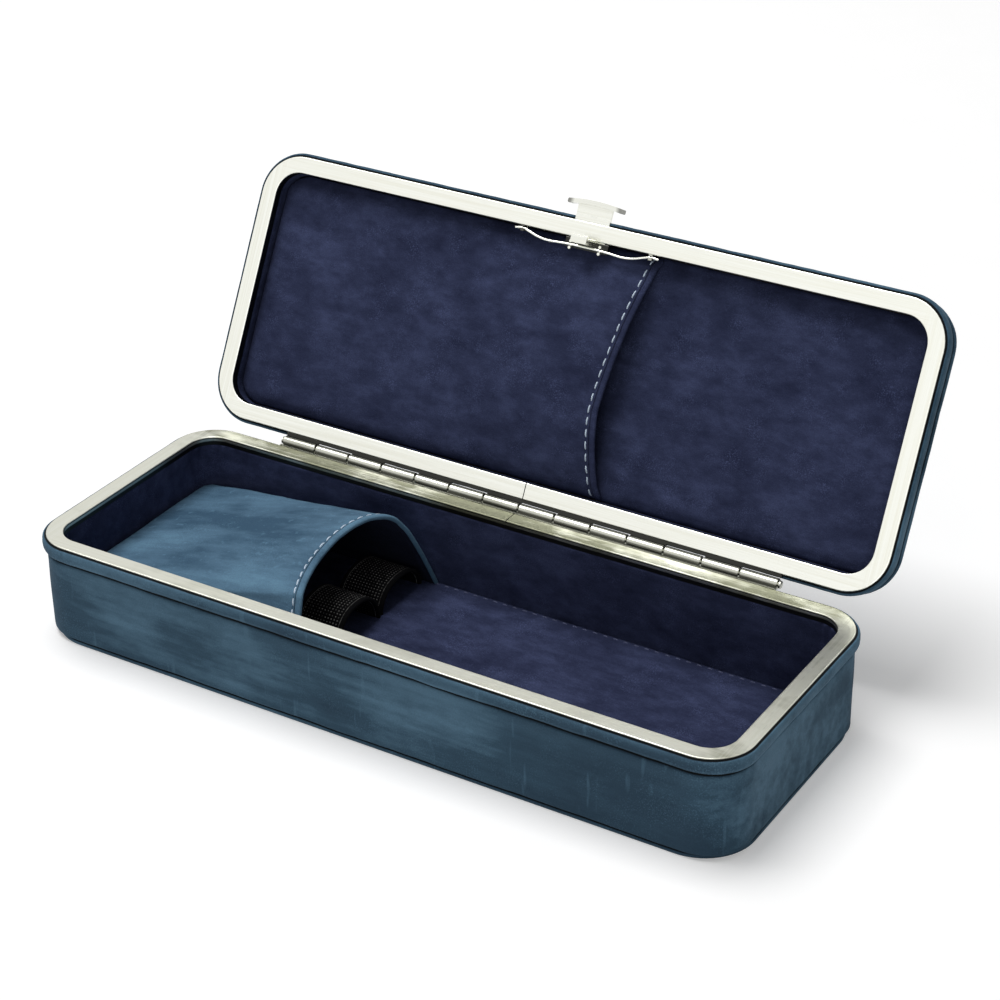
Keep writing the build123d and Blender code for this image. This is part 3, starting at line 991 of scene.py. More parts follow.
@once
def woven_elastic(name):
    """Woven elastic: rows of raised threads that follow the band."""
    look = bpy.context.scene.pencase_finish
    weave = bpy.context.scene.pencase_soft.weave / MM
    made, graph, shader, vector = new_material(name)
    strip = graph.out("ShaderNodeAttribute", None, "Vector", attribute_name="strip")
    parts = graph.parts(strip)
    rows = []
    for part in parts[:2]:
        angle = graph.times(part, 2 * math.pi / weave)
        rows.append(graph.span(graph.sum("SINE", angle), 0.1, 0.9))
    knots = graph.times(rows[0], rows[1])
    knots = graph.times(knots, graph.span(parts[2], 0.0, 0.3, 1.0, 0.0))
    edge = graph.less(graph.span(parts[2], 0.1, 0.4), graph.span(parts[2], 0.5, 0.8))
    raised = graph.most(knots, graph.times(edge, 0.6))
    fuzz = graph.clouds(vector, 1500, 3, 0.6)
    raised = graph.times(raised, graph.span(fuzz, 0.35, 0.62, 0.1, 1))
    mixed = graph.blend(raised, solid(look.elastic), solid(look.elastic_pale))
    dress(graph, shader, mixed, graph.span(raised, 0, 1, 0.9, 0.7), raised, 0.6, 0.0002)
    shader["Specular IOR Level"].default_value = 0.08
    return made


@once
def pressed_board(name):
    """Grey-brown pressed board."""
    look = bpy.context.scene.pencase_finish
    made, graph, shader, vector = new_material(name)
    fibres = graph.clouds(graph.stretch(vector, 0.4, 1, 1), 900, 4, 0.7)
    spots = graph.clouds(vector, 120, 2, 0.5)
    dark = solid([0.6 * value for value in look.board])
    mixed = graph.blend(graph.span(fibres, 0.3, 0.7), dark, solid(look.board))
    mixed = graph.blend(graph.span(spots, 0.5, 0.7, 0, 0.4), mixed, dark)
    dress(graph, shader, mixed, graph.span(fibres, 0, 1, 0.95, 0.8), fibres, 0.3, 0.0002)
    return made


# Stitches


@once
def stitch_tree(name):
    """Geometry nodes that lay stitches along a line of points, which know their way up."""
    tree = bpy.data.node_groups.new(name, "GeometryNodeTree")
    sockets = {
        "Line": ("Geometry", None),
        "Pitch": ("Float", 0.003),
        "Length": ("Float", 0.002),
        "Thread": ("Float", 0.0004),
        "Tilt": ("Float", 0.1),
        "Seed": ("Int", 7),
        "Material": ("Material", None),
    }
    add_sockets(tree, "INPUT", sockets)
    add_sockets(tree, "OUTPUT", {"Stitches": ("Geometry", None)})
    graph = Graph(tree)
    start, end = graph.ends()
    half = graph.times(start["Length"], 0.5)
    feeds = {"Start": graph.joined(x=graph.times(half, -1.0)), "End": graph.joined(x=half)}
    line = graph.out("GeometryNodeCurvePrimitiveLine", feeds)
    feeds = {"Curve": line, "Count": 7}
    fine = graph.out("GeometryNodeResampleCurve", feeds, mode="COUNT")
    factor = graph.out("GeometryNodeSplineParameter", None, "Factor")
    centred = graph.less(graph.times(factor, 2.0), 1.0)
    fall = graph.sum("POWER", graph.away(centred), 3.0)
    sink = graph.times(fall, graph.times(start["Thread"], -0.8))
    feeds = {"Geometry": fine, "Offset": graph.joined(z=sink)}
    bent = graph.out("GeometryNodeSetPosition", feeds)
    feeds = {"Resolution": 6, "Radius": graph.times(start["Thread"], 0.5)}
    ring = graph.out("GeometryNodeCurvePrimitiveCircle", feeds)
    feeds = {"Curve": bent, "Profile Curve": ring, "Fill Caps": True}
    tube = graph.out("GeometryNodeCurveToMesh", feeds)
    path = graph.out("GeometryNodeMeshToCurve", {"Mesh": start["Line"]})
    feeds = {"Curve": path, "Length": start["Pitch"]}
    places = graph.out("GeometryNodeResampleCurve", feeds, mode="LENGTH")
    upward = graph.out("GeometryNodeInputNamedAttribute", {"Name": "up"}, data_type="FLOAT_VECTOR")
    feeds = {"Vector": graph.out("GeometryNodeInputTangent")}
    aim = graph.out("FunctionNodeAlignRotationToVector", feeds, axis="X")
    feeds = {"Rotation": aim, "Vector": upward}
    level = graph.out("FunctionNodeAlignRotationToVector", feeds, axis="Z", pivot_axis="X")
    feeds = {2: graph.times(start["Tilt"], -1.0), 3: start["Tilt"], "Seed": start["Seed"]}
    chance = graph.out("FunctionNodeRandomValue", feeds, 1, data_type="FLOAT")
    feeds = {"Rotation": level, "Rotate By": graph.joined(z=chance)}
    turned = graph.out("FunctionNodeRotateRotation", feeds, rotation_space="LOCAL")
    feeds = {"Points": places, "Instance": tube, "Rotation": turned}
    many = graph.out("GeometryNodeInstanceOnPoints", feeds)
    smooth = graph.out("GeometryNodeSetShadeSmooth", {"Geometry": many})
    real = graph.out("GeometryNodeRealizeInstances", {"Geometry": smooth})
    feeds = {"Geometry": real, "Material": start["Material"]}
    graph.feed(end[0], graph.out("GeometryNodeSetMaterial", feeds))
    return tree


def stitches(name, line, normals, material, seed, closed=False, scale=1.0):
    """A run of stitches on a line of points in millimetres."""
    thread = bpy.context.scene.pencase_thread
    count = len(line)
    edges = [(n, n + 1) for n in range(count - 1)]
    if closed:
        edges.append((count - 1, 0))
    lifted = line + normals * thread.thick * scale / MM * STITCH_LIFT
    mesh = bpy.data.meshes.new(name + "_line")
    mesh.from_pydata((lifted * MM).tolist(), edges, [])
    attribute(mesh, "up", normals)
    guide = link(name + "_line", mesh)
    tree = stitch_tree("Run of stitches")
    modifier = guide.modifiers.new("Stitches", "NODES")
    modifier.node_group = tree
    values = {
        "Pitch": thread.pitch,
        "Length": thread.length * scale,
        "Thread": thread.thick * scale,
        "Tilt": thread.tilt,
        "Seed": seed,
        "Material": material,
    }
    for item in tree.interface.items_tree:
        if item.item_type == "SOCKET" and item.in_out == "INPUT" and item.name in values:
            modifier[item.identifier] = values[item.name]
    bpy.context.view_layer.update()
    graph = bpy.context.evaluated_depsgraph_get()
    made = link(name, bpy.data.meshes.new_from_object(guide.evaluated_get(graph)))
    bpy.data.objects.remove(guide)
    if not made.data.polygons:
        raise RuntimeError(name + " came out empty")
    return made


# Putting pieces in place


def swing():
    """The turn that carries a piece of the shut lid to where the open lid holds it."""
    shift = Matrix.Translation(Vector(HINGE["pos_m"]))
    angle = -math.radians(HINGE["range_deg"][1])
    return shift @ Matrix.Rotation(angle, 4, "X") @ shift.inverted()


def settle(piece, body, material=None, replaces=(), behind=None):
    """Gives a piece its finish and its body, and hides the CAD parts that it stands in for."""
    for layer in (material, behind):
        if layer:
            piece.data.materials.append(layer)
    if material and not behind:
        piece.data.polygons.foreach_set("material_index", [0] * len(piece.data.polygons))
    if body == LID_BODY:
        piece.data.transform(swing())
    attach(piece, body)
    if replaces:
        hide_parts(*replaces)


def line_with_suede(piece, body, node):
    """Settles a piece of the navy lining."""
    settle(piece, body, suede("navy_suede"), [node])


def cover_with_leather(piece, body, node, material):
    """Settles a piece of the outside."""
    settle(piece, body, material, [node])


class Sizes:
    """A group's lengths in millimetres."""

    def __init__(self, group):
        for key in group.__annotations__:
            setattr(self, key, getattr(group, key) / MM)


def soft_sizes():
    """The soft pieces' sizes."""
    return Sizes(bpy.context.scene.pencase_soft)


def body_sizes():
    """The body's sizes, with the levels that follow from them."""
    s = Sizes(bpy.context.scene.pencase_body)
    s.length = (RIM_HIGH.x - RIM_LOW.x) / MM
    s.width = (RIM_HIGH.y - RIM_LOW.y) / MM
    s.face = RIM_HIGH.z / MM
    s.under = s.face - s.flange_thick
    s.lip_low = s.under - s.lip
    s.floor_low = s.bottom + s.floor
    s.floor_top = s.floor_low + s.pad
    s.lid_face = s.face + s.gap
    s.lid_back = s.lid_face + s.flange_thick
    s.lid_lip = s.lid_back + s.lip
    s.lid_top = s.lid_face + s.lid
    s.board_under = s.lid_top - s.roof
    s.panel_face = s.board_under - s.padding
    s.band_high = s.face - s.band_below
    s.band_low = s.band_high - s.band_tall
    s.seam = s.bottom - s.seam_below
    s.slot_top = s.lid_back + s.slot_tall
    s.pad_inset = s.flange + PAD_ROOM
    s.corner_x = s.length / 2 - s.corner
    s.corner_y = s.width / 2 - s.corner
    return s


def case_plan(step=2.0, corner_steps=7, marks=()):
    """The outline of the case at the frame's outer edge."""
    s = body_sizes()
    return Plan(s.length, s.width, s.corner, step, corner_steps, marks)


def push(points, ways, amount):
    """Moves ring points in plan by an amount along their way out."""
    moved = points.copy()
    moved[:, :, :2] += ways[:, None, :] * amount[:, :, None]
    return moved


def clear_hinge(points, low_side):
    """Keeps a rim's points clear of the hinge's leaf and barrel, in the shut position."""
    s = body_sizes()
    axis_y, axis_z = [value / MM for value in HINGE["pos_m"][1:]]
    x, y, z = np.moveaxis(points, 2, 0)
    near = (np.abs(x) < s.hinge_run / 2) & (y > s.width / 2 - 1.0)
    if low_side:
        clear = np.minimum(z, s.under - LEAF_ROOM)
    else:
        clear = np.maximum(z, s.lid_back + LEAF_ROOM)
    height = np.where(near, clear, z)
    rise = np.abs(height - axis_z)
    most = axis_y - np.sqrt(np.maximum(BARREL_ROOM**2 - rise**2, 0))
    crowded = near & (rise < BARREL_ROOM)
    return np.stack([x, np.where(crowded, np.minimum(y, most), y), height], axis=2)


def clear_catch(points):
    """Lifts the front of a lid's rim over the slot of the catch."""
    s = body_sizes()
    x, y, z = np.moveaxis(points, 2, 0)
    near = (np.abs(x) < s.slot_half) & (y < 0)
    return np.stack([x, y, np.where(near, np.maximum(z, s.slot_top), z)], axis=2)


def rim_marks():
    """Places along the case where its rims step for the hinge and the catch."""
    s = body_sizes()
    halves = (s.slot_half, s.hinge_run / 2)
    return [side * (half + by) for half in halves for side in (-1, 1) for by in (-0.05, 0.15)]


# Operators


class PENCASE_OT_metalwork(bpy.types.Operator):
    """Finish the frames, the hinge and the catch in brushed metal"""

    bl_idname = "pencase.metalwork"
    bl_label = "Metalwork"

    def execute(self, context):
        s = body_sizes()
        carry = swing()
        turned = carry.to_3x3()
        level = s.lid_face * MM
        inside = (s.flange - s.width / 2 + 0.15) * MM
        face = carry @ Vector((0, 0, level))
        edge = carry @ Vector((0, inside, level))
        # Painted shade on the lid frame's outer edge and on the catch plate inside the lid.
        lid_edge_painted_shade = painted_shade_below_face(face, turned @ Vector((0, 0, -1)), 0.12, 0.3)
        plate_painted_shade = painted_shade_below_face(edge, turned @ Vector((0, -1, 0)), 0.0, 0.3)
        # Painted shade on the hinge, at its crevices and part of the way to tarnish all over.
        hinge = metal("brushed_hinge", 0.6, 0.3, knuckle_painted_shade, aged=0.45)
        bright = metal("bright_catch", 0.05, 0.3, rails=False)
        board = pressed_board("pressed_board")
        finishes = {
            # Painted shade on the base frame: its edges, its rail along the hinge, and part of the
            # way to tarnish all over.
            "base_frame": metal("brushed_base_frame", rail_smears_and_painted_shade, 0.4, lip_painted_shade, aged=0.4),
            "lid_frame": metal("brushed_lid_frame", 0.15, 0.4, lid_edge_painted_shade),
            "base_hinge_leaf": hinge,
            "lid_hinge_leaf": hinge,
            "hinge_pin": hinge,
            # Painted shade: the catch's guide darkened all over, the plate inside the lid, the
            # bar's ends and the spring's left eye.
            "latch_guide": metal("dark_catch", 1.0, 0.4, lambda graph, vector: 0.85, False),
            "latch_plate": metal("tarnished_plate", 0.3, 0.35, plate_painted_shade, False),
            "latch_thumb_bar": metal("bright_bar", 0.3, 0.3, dark_ends, False),
            "catch_hook": bright,
            "spring_lugs": bright,
            "spring_anchors": metal("tarnished_eyes", 0.8, 0.35, dark_left, False),
            "latch_spring": metal("bright_wire", 0.1, 0.2, rails=False),
            "base_shell": board,
            "lid_shell": board,
        }
        for name, material in finishes.items():
            materials = frame["nodes"][name].data.materials
            materials.clear()
            materials.append(material)
        return {"FINISHED"}


def wander(points, ways=None):
    """Lets the creases under the band and at the foot wander a little up and down.

    It may stand as a reshaping function by itself, and makes no use of the ways out.
    """
    s = body_sizes()
    moved = points.copy()
    height = points[:, :, 2]
    level = points * (1, 1, 0)
    band = ripples(level, (0.28, 21, 20), (0.12, 6, 22))
    foot = ripples(level, (0.2, 26, 21), (0.1, 7, 23))
    moved[:, :, 2] += band * bump(height, s.band_low - 0.2, 1.1)
    moved[:, :, 2] += foot * bump(height, s.seam, 0.6)
    return moved


class PENCASE_OT_base_cover(bpy.types.Operator):
    """Cover the base's sides and bottom in leather"""

    bl_idname = "pencase.base_cover"
    bl_label = "Base cover"

    def execute(self, context):
        s = body_sizes()
        foot = s.bottom
        seam = s.seam
        top = s.under - 0.05
        band = s.band_low
        # The third value is rubbing above 0 and painted shade below 0: dark under the band, in the
        # fold below it and at the foot seam.
        profile = [
            (-s.leather, top, -1),
            (-0.1, top, -1),
            (-0.16, band + 1.0, -1),
            (-0.5, band + 0.1, -1),
            (-0.62, band - 0.25, -1),
            (-0.56, band - 0.65, -1),
            (-0.4, band - 0.95, -0.85),
            (-0.16, band - 1.2, -0.1),
            (-0.02, band - 1.6, 0.4),
            (0.03, band - 2.3, 0.45),
            (0.05, band - 3.6, 0.4),
            (0.07, band - 5.2, 0.1),
            (0.08, band - 9.0, 0),
            (0.08, band - 13.0, 0),
            (0.06, foot + 4.0, 0),
            (0.04, foot + 1.4, 0),
            (0.03, foot + 0.1, 0.1),
            (0.0, seam + 0.3, 0.15),
            (-0.1, seam + 0.12, -0.3),
            (-0.35, seam, -1),
            (-s.leather, seam - 0.02, -1),
        ]

        def reshape(points, ways):
            x, y, z = np.moveaxis(points, 2, 0)
            depth = ripples(points, (0.1, 9, 1), (0.05, 3, 2))
            fold = ease((x - 62) / 25) * ease((12 - y) / 30)
            level = band - 2.9 + 0.6 * ripple(points * (1, 1, 0), 30, 3)
            depth = depth - 0.3 * fold * bump(z, level, 0.4)
            depth = np.where((z < top - 0.01) & (z > seam + 0.1), depth, 0)
            depth[:, [0, -1]] = 0
            return push(wander(points), ways, depth)

        sides = ring_object("base_side_cover", case_plan(1.6, 8), profile, reshape)
        cover_with_leather(sides, BASE_BODY, "base_side_leather", outside_leather())

        length = s.length - 2 * BOTTOM_INSET
        plan = Plan(length, s.width - 2 * BOTTOM_INSET, s.bottom_corner, 3.0, 8)
        # The third value is rubbing above 0 and painted shade below 0: dark at the seam along the
        # panel's top.
        rows = [
            (-1.55, foot - 0.02, -1),
            (-1.5, seam - 0.08, -1),
            (-0.5, seam - 0.16, -1),
            (-0.26, seam - 0.3, -1),
            (-0.1, seam - 0.42, -0.5),
            (-0.02, seam - 0.55, 0.1),
            (0.0, seam - 0.72, 0.2),
            (0.0, 0.4, 0.2),
            (-0.08, 0.16, 0.3),
            (-0.28, 0.02, 0.2),
        ]
        upper = (2.0, level_with(foot - 0.01))
        lower = (1.5, level_with(0.0))
        panel = shell_object("bottom_cover", plan, upper, rows, lower, wander)
        cover_with_leather(panel, BASE_BODY, "bottom_panel", outside_leather())
        return {"FINISHED"}


class PENCASE_OT_rim_bands(bpy.types.Operator):
    """Roll a band of leather round each frame"""

    bl_idname = "pencase.rim_bands"
    bl_label = "Rolled bands"

    def execute(self, context):
        s = body_sizes()
        face = s.face
        high = s.band_high
        low = s.band_low
        out = s.band_out

        def profile(rolled):
            # The third value is rubbing above 0 and painted shade below 0: near black in the gap
            # under the frame and at the band's lower fold.
            return [
                (0.01, low + 0.3, -1),
                (0.02, face - 0.2, -1),
                (0.12, face - 0.18, -1),
                (0.18, face - 0.4, -1),
                (0.3, high - 0.04, -1),
                (0.42, high - 0.02, -0.7),
                (0.56, high, 0.4 * rolled),
                (0.76, high - 0.07, 0.8 * rolled),
                (out - 0.12, high - 0.3, 0.8 * rolled),
                (out - 0.02, high - 0.7, 0.6),
                (out + 0.02, high - 1.2, 0.35),
                (out + 0.01, low + 1.5, 0.2),
                (out - 0.05, low + 1.15, 0.1),
                (out - 0.04, low + 0.95, 0.4),
                (out - 0.14, low + 0.6, 0.45),
                (out - 0.35, low + 0.22, -0.2),
                (out - 0.65, low, -1),
                (0.1, low + 0.04, -1),
            ]

        def roll(points, ways):
            amount = ripples(points, (0.07, 6, 4), (0.03, 2, 5))
            amount[:, :4] = 0
            return push(wander(points), ways, amount)

        def base_shape(points, ways):
            return clear_hinge(roll(points, ways), True)

        def lid_shape(points, ways):
            turned = roll(points, ways)
            turned[:, :, 2] = 2 * (face + s.gap / 2) - turned[:, :, 2]
            return clear_catch(clear_hinge(turned, False))

        plan = case_plan(1.6, 8, rim_marks())
        base = ring_object("base_band", plan, profile(1.0), base_shape)
        cover_with_leather(base, BASE_BODY, "base_rim_band", band_leather())
        # The lid's band gets less pale rubbing on its top than the base's, as painted shade there.
        lid = ring_object("lid_band", plan, profile(0.3), lid_shape)
        cover_with_leather(lid, LID_BODY, "lid_rim_band", band_leather())
        return {"FINISHED"}


def flat_points(x, y):
    """Points at height 0."""
    return np.stack([x, y, np.zeros(np.shape(x))], axis=-1)


def rounded(angle, radius):
    """How far out and how far down a rounded edge lies at an angle from its top."""
    turned = math.radians(angle)
    return radius * (math.sin(turned) - 1), radius * (1 - math.cos(turned))


class PENCASE_OT_lid_cover(bpy.types.Operator):
    """Cover the lid in leather"""

    bl_idname = "pencase.lid_cover"
    bl_label = "Lid cover"

    def execute(self, context):
        s = body_sizes()
        top = s.lid_top
        low = s.lid_back + 0.05
        crown = s.crown
        skin = s.leather
        band = s.lid_face + s.face - s.band_low
        rows = []
        for angle in range(10, 91, 10):
            out, down = rounded(angle, crown)
            rows.append((out, top - down, 0.75 * math.sin(2 * math.radians(angle))))
        # Painted shade below 0 darkens the cover at the band's fold and inside the band.
        rows += [
            (0.3, top - crown - 0.4, 0.2),
            (0.6, top - crown - 0.95, 0.2),
            (0.68, band + 2.65, 0.2),
            (0.54, band + 2.2, 0.0),
            (0.2, band + 1.85, -0.7),
            (-0.15, band + 1.45, -1),
        ]
        outer = len(rows) - 1
        rows += [
            (-0.45, band + 0.7, -1),
            (-0.5, band - 0.1, -1),
            (-0.15, band - 1.0, -1),
            (-0.12, low, -1),
            (-skin, low, -1),
            (-skin, top - crown, 0),
        ]
        for angle in (60, 30):
            out, down = rounded(angle, crown - skin)
            rows.append((out - skin, top - skin - down, 0))
        plan = case_plan(1.8, 8, rim_marks())

        def surface(x, y):
            swell = 0.1 * ease(plan.depth(x, y) / 14)
            return top + swell + 0.05 * ripple(flat_points(x, y), 16, 6)

        def reshape(points, ways):
            amount = ripples(points, (0.08, 9, 7), (0.04, 3, 8))
            amount[:, outer:] = 0
            return clear_catch(push(points, ways, amount))

        lower = (crown, level_with(top - skin))
        cover = shell_object("lid_leather", plan, (crown, surface), rows, lower, reshape)
        cover_with_leather(cover, LID_BODY, "lid_cover", outside_leather())
        return {"FINISHED"}


class PENCASE_OT_wall_linings(bpy.types.Operator):
    """Line the walls of the base and the lid with suede"""

    bl_idname = "pencase.wall_linings"
    bl_label = "Wall linings"

    def execute(self, context):
        s = body_sizes()
        back = s.lining - s.flange
        face = -s.flange
        barb_low = s.lip_low - 2.0
        marks = [side * (BARB_HALF + step) for side in (-1, 1) for step in (0, 0.12)]
        plan = case_plan(1.4, 10, marks)
        low = s.floor_low
        high = s.lip_low - 0.02
        levels = [high - 0.15, high - 0.8, high - 1.4, barb_low + 0.06, barb_low - 0.06]
        levels += [*np.linspace(barb_low - 1.2, low + 1.5, 14), low + 0.9, low + 0.4, low]
        profile = [(back, low, 0), (back, high, 0), (face + 0.25, high, 0)]
        profile += [(face, level, 0) for level in levels]

        def reshape(points, ways):
            x, y, z = np.moveaxis(points, 2, 0)
            off_x = np.abs(x) - s.corner_x
            off_y = np.abs(y) - s.corner_y
            corner = ease((off_x + 6.7) / 8) * ease((off_y + 7.2) / 8)
            angle = np.arctan2(off_y, off_x)
            gathers = np.sin(angle * 17) * bump(z, high - 1.5, 5)
            gathers = gathers + 0.6 * np.sin(angle * 11 + 1) * bump(z, low + 3, 5)
            tuck = bump(z, high - 3.4 + 0.8 * np.sin(angle * 3), 0.5)
            soft = ripples(points, (0.1, 7, 9), (0.05, 2.5, 10))
            amount = soft + corner * (0.2 * gathers + 0.5 * tuck) + 0.05
            amount[:, :3] = 0
            moved = push(points, ways, amount)
            barb = (np.abs(x) <= BARB_HALF + 0.01) & (y < 0) & (z > barb_low)
            barb[:, :3] = False
            moved[:, :, 1] = np.where(barb, y - (back - face - 0.1), moved[:, :, 1])
            return moved

        base = ring_object("base_wall_suede", plan, profile, reshape)
        line_with_suede(base, BASE_BODY, "base_wall_lining")

        low = s.lid_lip + 0.02
        high = s.board_under
        profile = [(back, low, 0), (back, high, 0), (face, high, 0)]
        profile += [(face, high - 1.2, 0), (face, low + 1.2, 0), (face + 0.1, low, 0)]

        def soften(points, ways):
            amount = 0.06 * ripple(points, 6, 11) + 0.06
            amount[:, :2] = 0
            return push(points, ways, amount)

        lid = ring_object("lid_wall_suede", plan, profile, soften)
        line_with_suede(lid, LID_BODY, "lid_wall_lining")
        return {"FINISHED"}


def pad_depth(x, y):
    """How far points lie inside the edge of the floor pad or the lid's panel."""
    return case_plan().depth(x, y) - body_sizes().pad_inset


def pad_height(x, y):
    """The height of the floor pad's surface."""
    depth = pad_depth(x, y)
    edge = 0.42 * (1 - ease(depth / 1.8)) + 0.1 * bump(depth, 1.25, 0.45)
    return body_sizes().floor_top + 0.04 + 0.05 * ripple(flat_points(x, y), 14, 12) - edge


def panel_height(x, y):
    """The height of the lid lining's face, which looks down when the lid is shut."""
    edge = 0.95 * (1 - ease(pad_depth(x, y) / 3.2))
    return body_sizes().panel_face + 0.06 * ripple(flat_points(x, y), 15, 13) + edge


class PENCASE_OT_floor_pad(bpy.types.Operator):
    """Lay the sewn suede pad on the floor of the base"""

    bl_idname = "pencase.floor_pad"
    bl_label = "Floor pad"

    def execute(self, context):
        s = body_sizes()
        inset = s.pad_inset
        plan = case_plan(1.3, 7)
        rows = [
            (-inset - 0.25, s.floor_top - 0.33, 0),
            (-inset - 0.06, s.floor_top - 0.48, 0),
            (-inset, s.floor_top - 0.65, 0),
            (-inset - 0.1, s.floor_low, 0),
        ]
        upper = (inset + 0.6, pad_height)
        lower = (inset + 1.0, level_with(s.floor_low))
        pad = shell_object("floor_pad_suede", plan, upper, rows, lower)
        line_with_suede(pad, BASE_BODY, "floor_pad")
        line = plan.edge([-inset - 1.25])[0][:, 0, :]
        path = np.column_stack([line, pad_height(*line.T)])
        ups = np.tile((0.0, 0.0, 1.0), (len(path), 1))
        thread = twisted_thread("thread_dark", linear(*PAD_THREAD))
        sewn = stitches("floor_pad_stitches", path, ups, thread, 3, True, 0.7)
        settle(sewn, BASE_BODY)
        return {"FINISHED"}


class PENCASE_OT_lid_panel(bpy.types.Operator):
    """Fit the padded suede panel inside the lid"""

    bl_idname = "pencase.lid_panel"
    bl_label = "Lid lining"

    def execute(self, context):
        s = body_sizes()
        inset = s.pad_inset
        rows = [(-inset - 0.1, s.board_under - 0.02, 0), (-inset, s.board_under - 0.2, 0)]
        upper = (inset + 0.6, level_with(s.board_under - 0.01))
        lower = (inset + 0.15, panel_height)
        panel = shell_object("lid_lining_suede", case_plan(1.5, 7), upper, rows, lower)
        line_with_suede(panel, LID_BODY, "lid_lining_panel")
        return {"FINISHED"}


def edge_distances(reach, hem):
    """Distances from a sheet's mouth, close together at the hem."""
    near = [0.0, 0.35, 0.8, 1.3, hem - 0.9, hem - 0.45, hem - 0.2, hem, hem + 0.2, hem + 0.5]
    far = np.linspace(hem + 1.2, reach, max(4, int(reach / 1.5)))
    return np.array([*near, *far])


def row_places(edge_x, wall_x, distances):
    """The X of each of a sheet's rows, from its mouth to the wall."""
    reach = distances[-1]
    extra = edge_x - wall_x - reach
    return edge_x - distances - extra * (distances / reach) ** 2


def hem_lift(distance, hem, height):
    """How far a hem's roll and the dip of its stitches lift the good side."""
    roll = height * bump(distance, hem * 0.45, hem * 0.35)
    return (roll - 1.4 * height * bump(distance, hem, 0.32))[:, None]


def keep_in_corners(grid, room):
    """Draws a grid's points in to the lining's rounded corners, less some room."""
    s = body_sizes()
    corner = s.corner - s.flange - room
    x, y, z = np.moveaxis(grid, 2, 0)
    off_x = np.minimum(x + s.corner_x, 0)
    off_y = np.maximum(np.abs(y) - s.corner_y, 0)
    distance = np.hypot(off_x, off_y)
    zone = (off_x < 0) & (off_y > 0) & (distance > corner)
    fit = np.where(zone, corner / np.maximum(distance, 1e-6), 1)
    x = np.where(zone, off_x * fit - s.corner_x, x)
    y = np.where(zone, np.sign(y) * (s.corner_y + off_y * fit), y)
    return np.stack([x, y, z], axis=2)


def sew_hem(sheet, body, grid, normals, row, ends, seed):
    """Sews one row of a sheet, short of its ends, and works out how large the sheet lies flat,
    though nothing keeps those sizes.
    """
    inner = slice(ends, -ends)
    name = sheet.name.rsplit("_", 1)[0] + "_stitches"
    thread = twisted_thread("thread", bpy.context.scene.pencase_finish.thread)
    sewn = stitches(name, grid[row, inner], normals[row, inner], thread, seed)
    settle(sewn, body)
    longest(grid, 0)
    longest(grid, 1)
    grid_area(grid)


class PENCASE_OT_pen_flap(bpy.types.Operator):
    """Arch the stitched leather flap over the pens' ends"""

    bl_idname = "pencase.pen_flap"
    bl_label = "Pen flap"

    def execute(self, context):
        s = body_sizes()
        soft = soft_sizes()
        half = s.width / 2 - s.flange - 0.32
        wall_x = -s.length / 2 + s.flange + 0.95
        mouth_x = soft.flap_mouth
        foot = s.floor_top - 0.3
        wall_top = s.face - soft.flap_drop
        wall_arch = [
            (-half, foot),
            (-half + 0.5, wall_top - 4.8),
            (-half + 1.6, wall_top - 1.7),
            (-half + 3.8, wall_top),
            (0, wall_top - 0.15),
            (half - 4.4, wall_top + 0.1),
            (half - 1.7, wall_top - 1.6),
            (half - 0.5, wall_top - 4.8),
            (half, foot),
        ]
        crown = s.face + soft.flap_rise
        mouth_arch = [
            (-half, foot),
            (-half + 3.6, crown - 16.0),
            (-half + 9.0, crown - 7.5),
            (-half + 14.3, crown - 4.0),
            (soft.flap_lean, crown),
            (half - 13.6, crown - 1.9),
            (half - 8.0, crown - 7.1),
            (half - 4.0, crown - 15.4),
            (half, foot),
        ]
        distances = edge_distances(mouth_x - wall_x, soft.hem)
        radius = (half**2 + soft.flap_dip**2) / (2 * soft.flap_dip)
        columns = []
        for wall, mouth in zip(smooth_arch(wall_arch), smooth_arch(mouth_arch)):
            edge_x = mouth_x + radius - math.sqrt(radius**2 - mouth[0] ** 2)
            x = row_places(edge_x, wall_x, distances)
            part = (x - wall_x) / (mouth_x - wall_x)
            y = between(wall[0], mouth[0], np.minimum(part, 1.02))
            z = np.maximum(between(wall[1], mouth[1], part), foot)
            columns.append(np.stack([x, y, z], axis=1))
        grid = keep_in_corners(np.stack(columns, axis=1), 0.3)
        behind = (mouth_x - 30, 0, -20)
        normals = grid_normals(grid, behind)
        high = ease((grid[:, :, 2] - foot - 2) / 5)
        lift = ripples(grid, (0.22, 17, 14), (0.08, 6, 15)) * high
        lift = lift + hem_lift(distances, soft.hem, 0.13)
        grid = grid + normals * lift[:, :, None]
        normals = grid_normals(grid, behind)
        # Pale rubbing at the mouth, and painted shade in the groove of the stitches.
        rubs = 0.5 * bump(distances, 0.4, 0.8) - 0.35 * bump(distances, soft.hem, 0.3)
        flap = sheet_object("pen_flap_leather", grid, normals, soft.flap_thick, rubs=rubs)
        good = leather("flap_nubuck", "flap", 0.2, 0.4)
        settle(flap, BASE_BODY, good, ["pen_flap"], suede("dark_suede", 0.8))
        row = int(np.argmin(np.abs(distances - soft.hem)))
        sew_hem(flap, BASE_BODY, grid, normals, row, 6, 1)
        return {"FINISHED"}


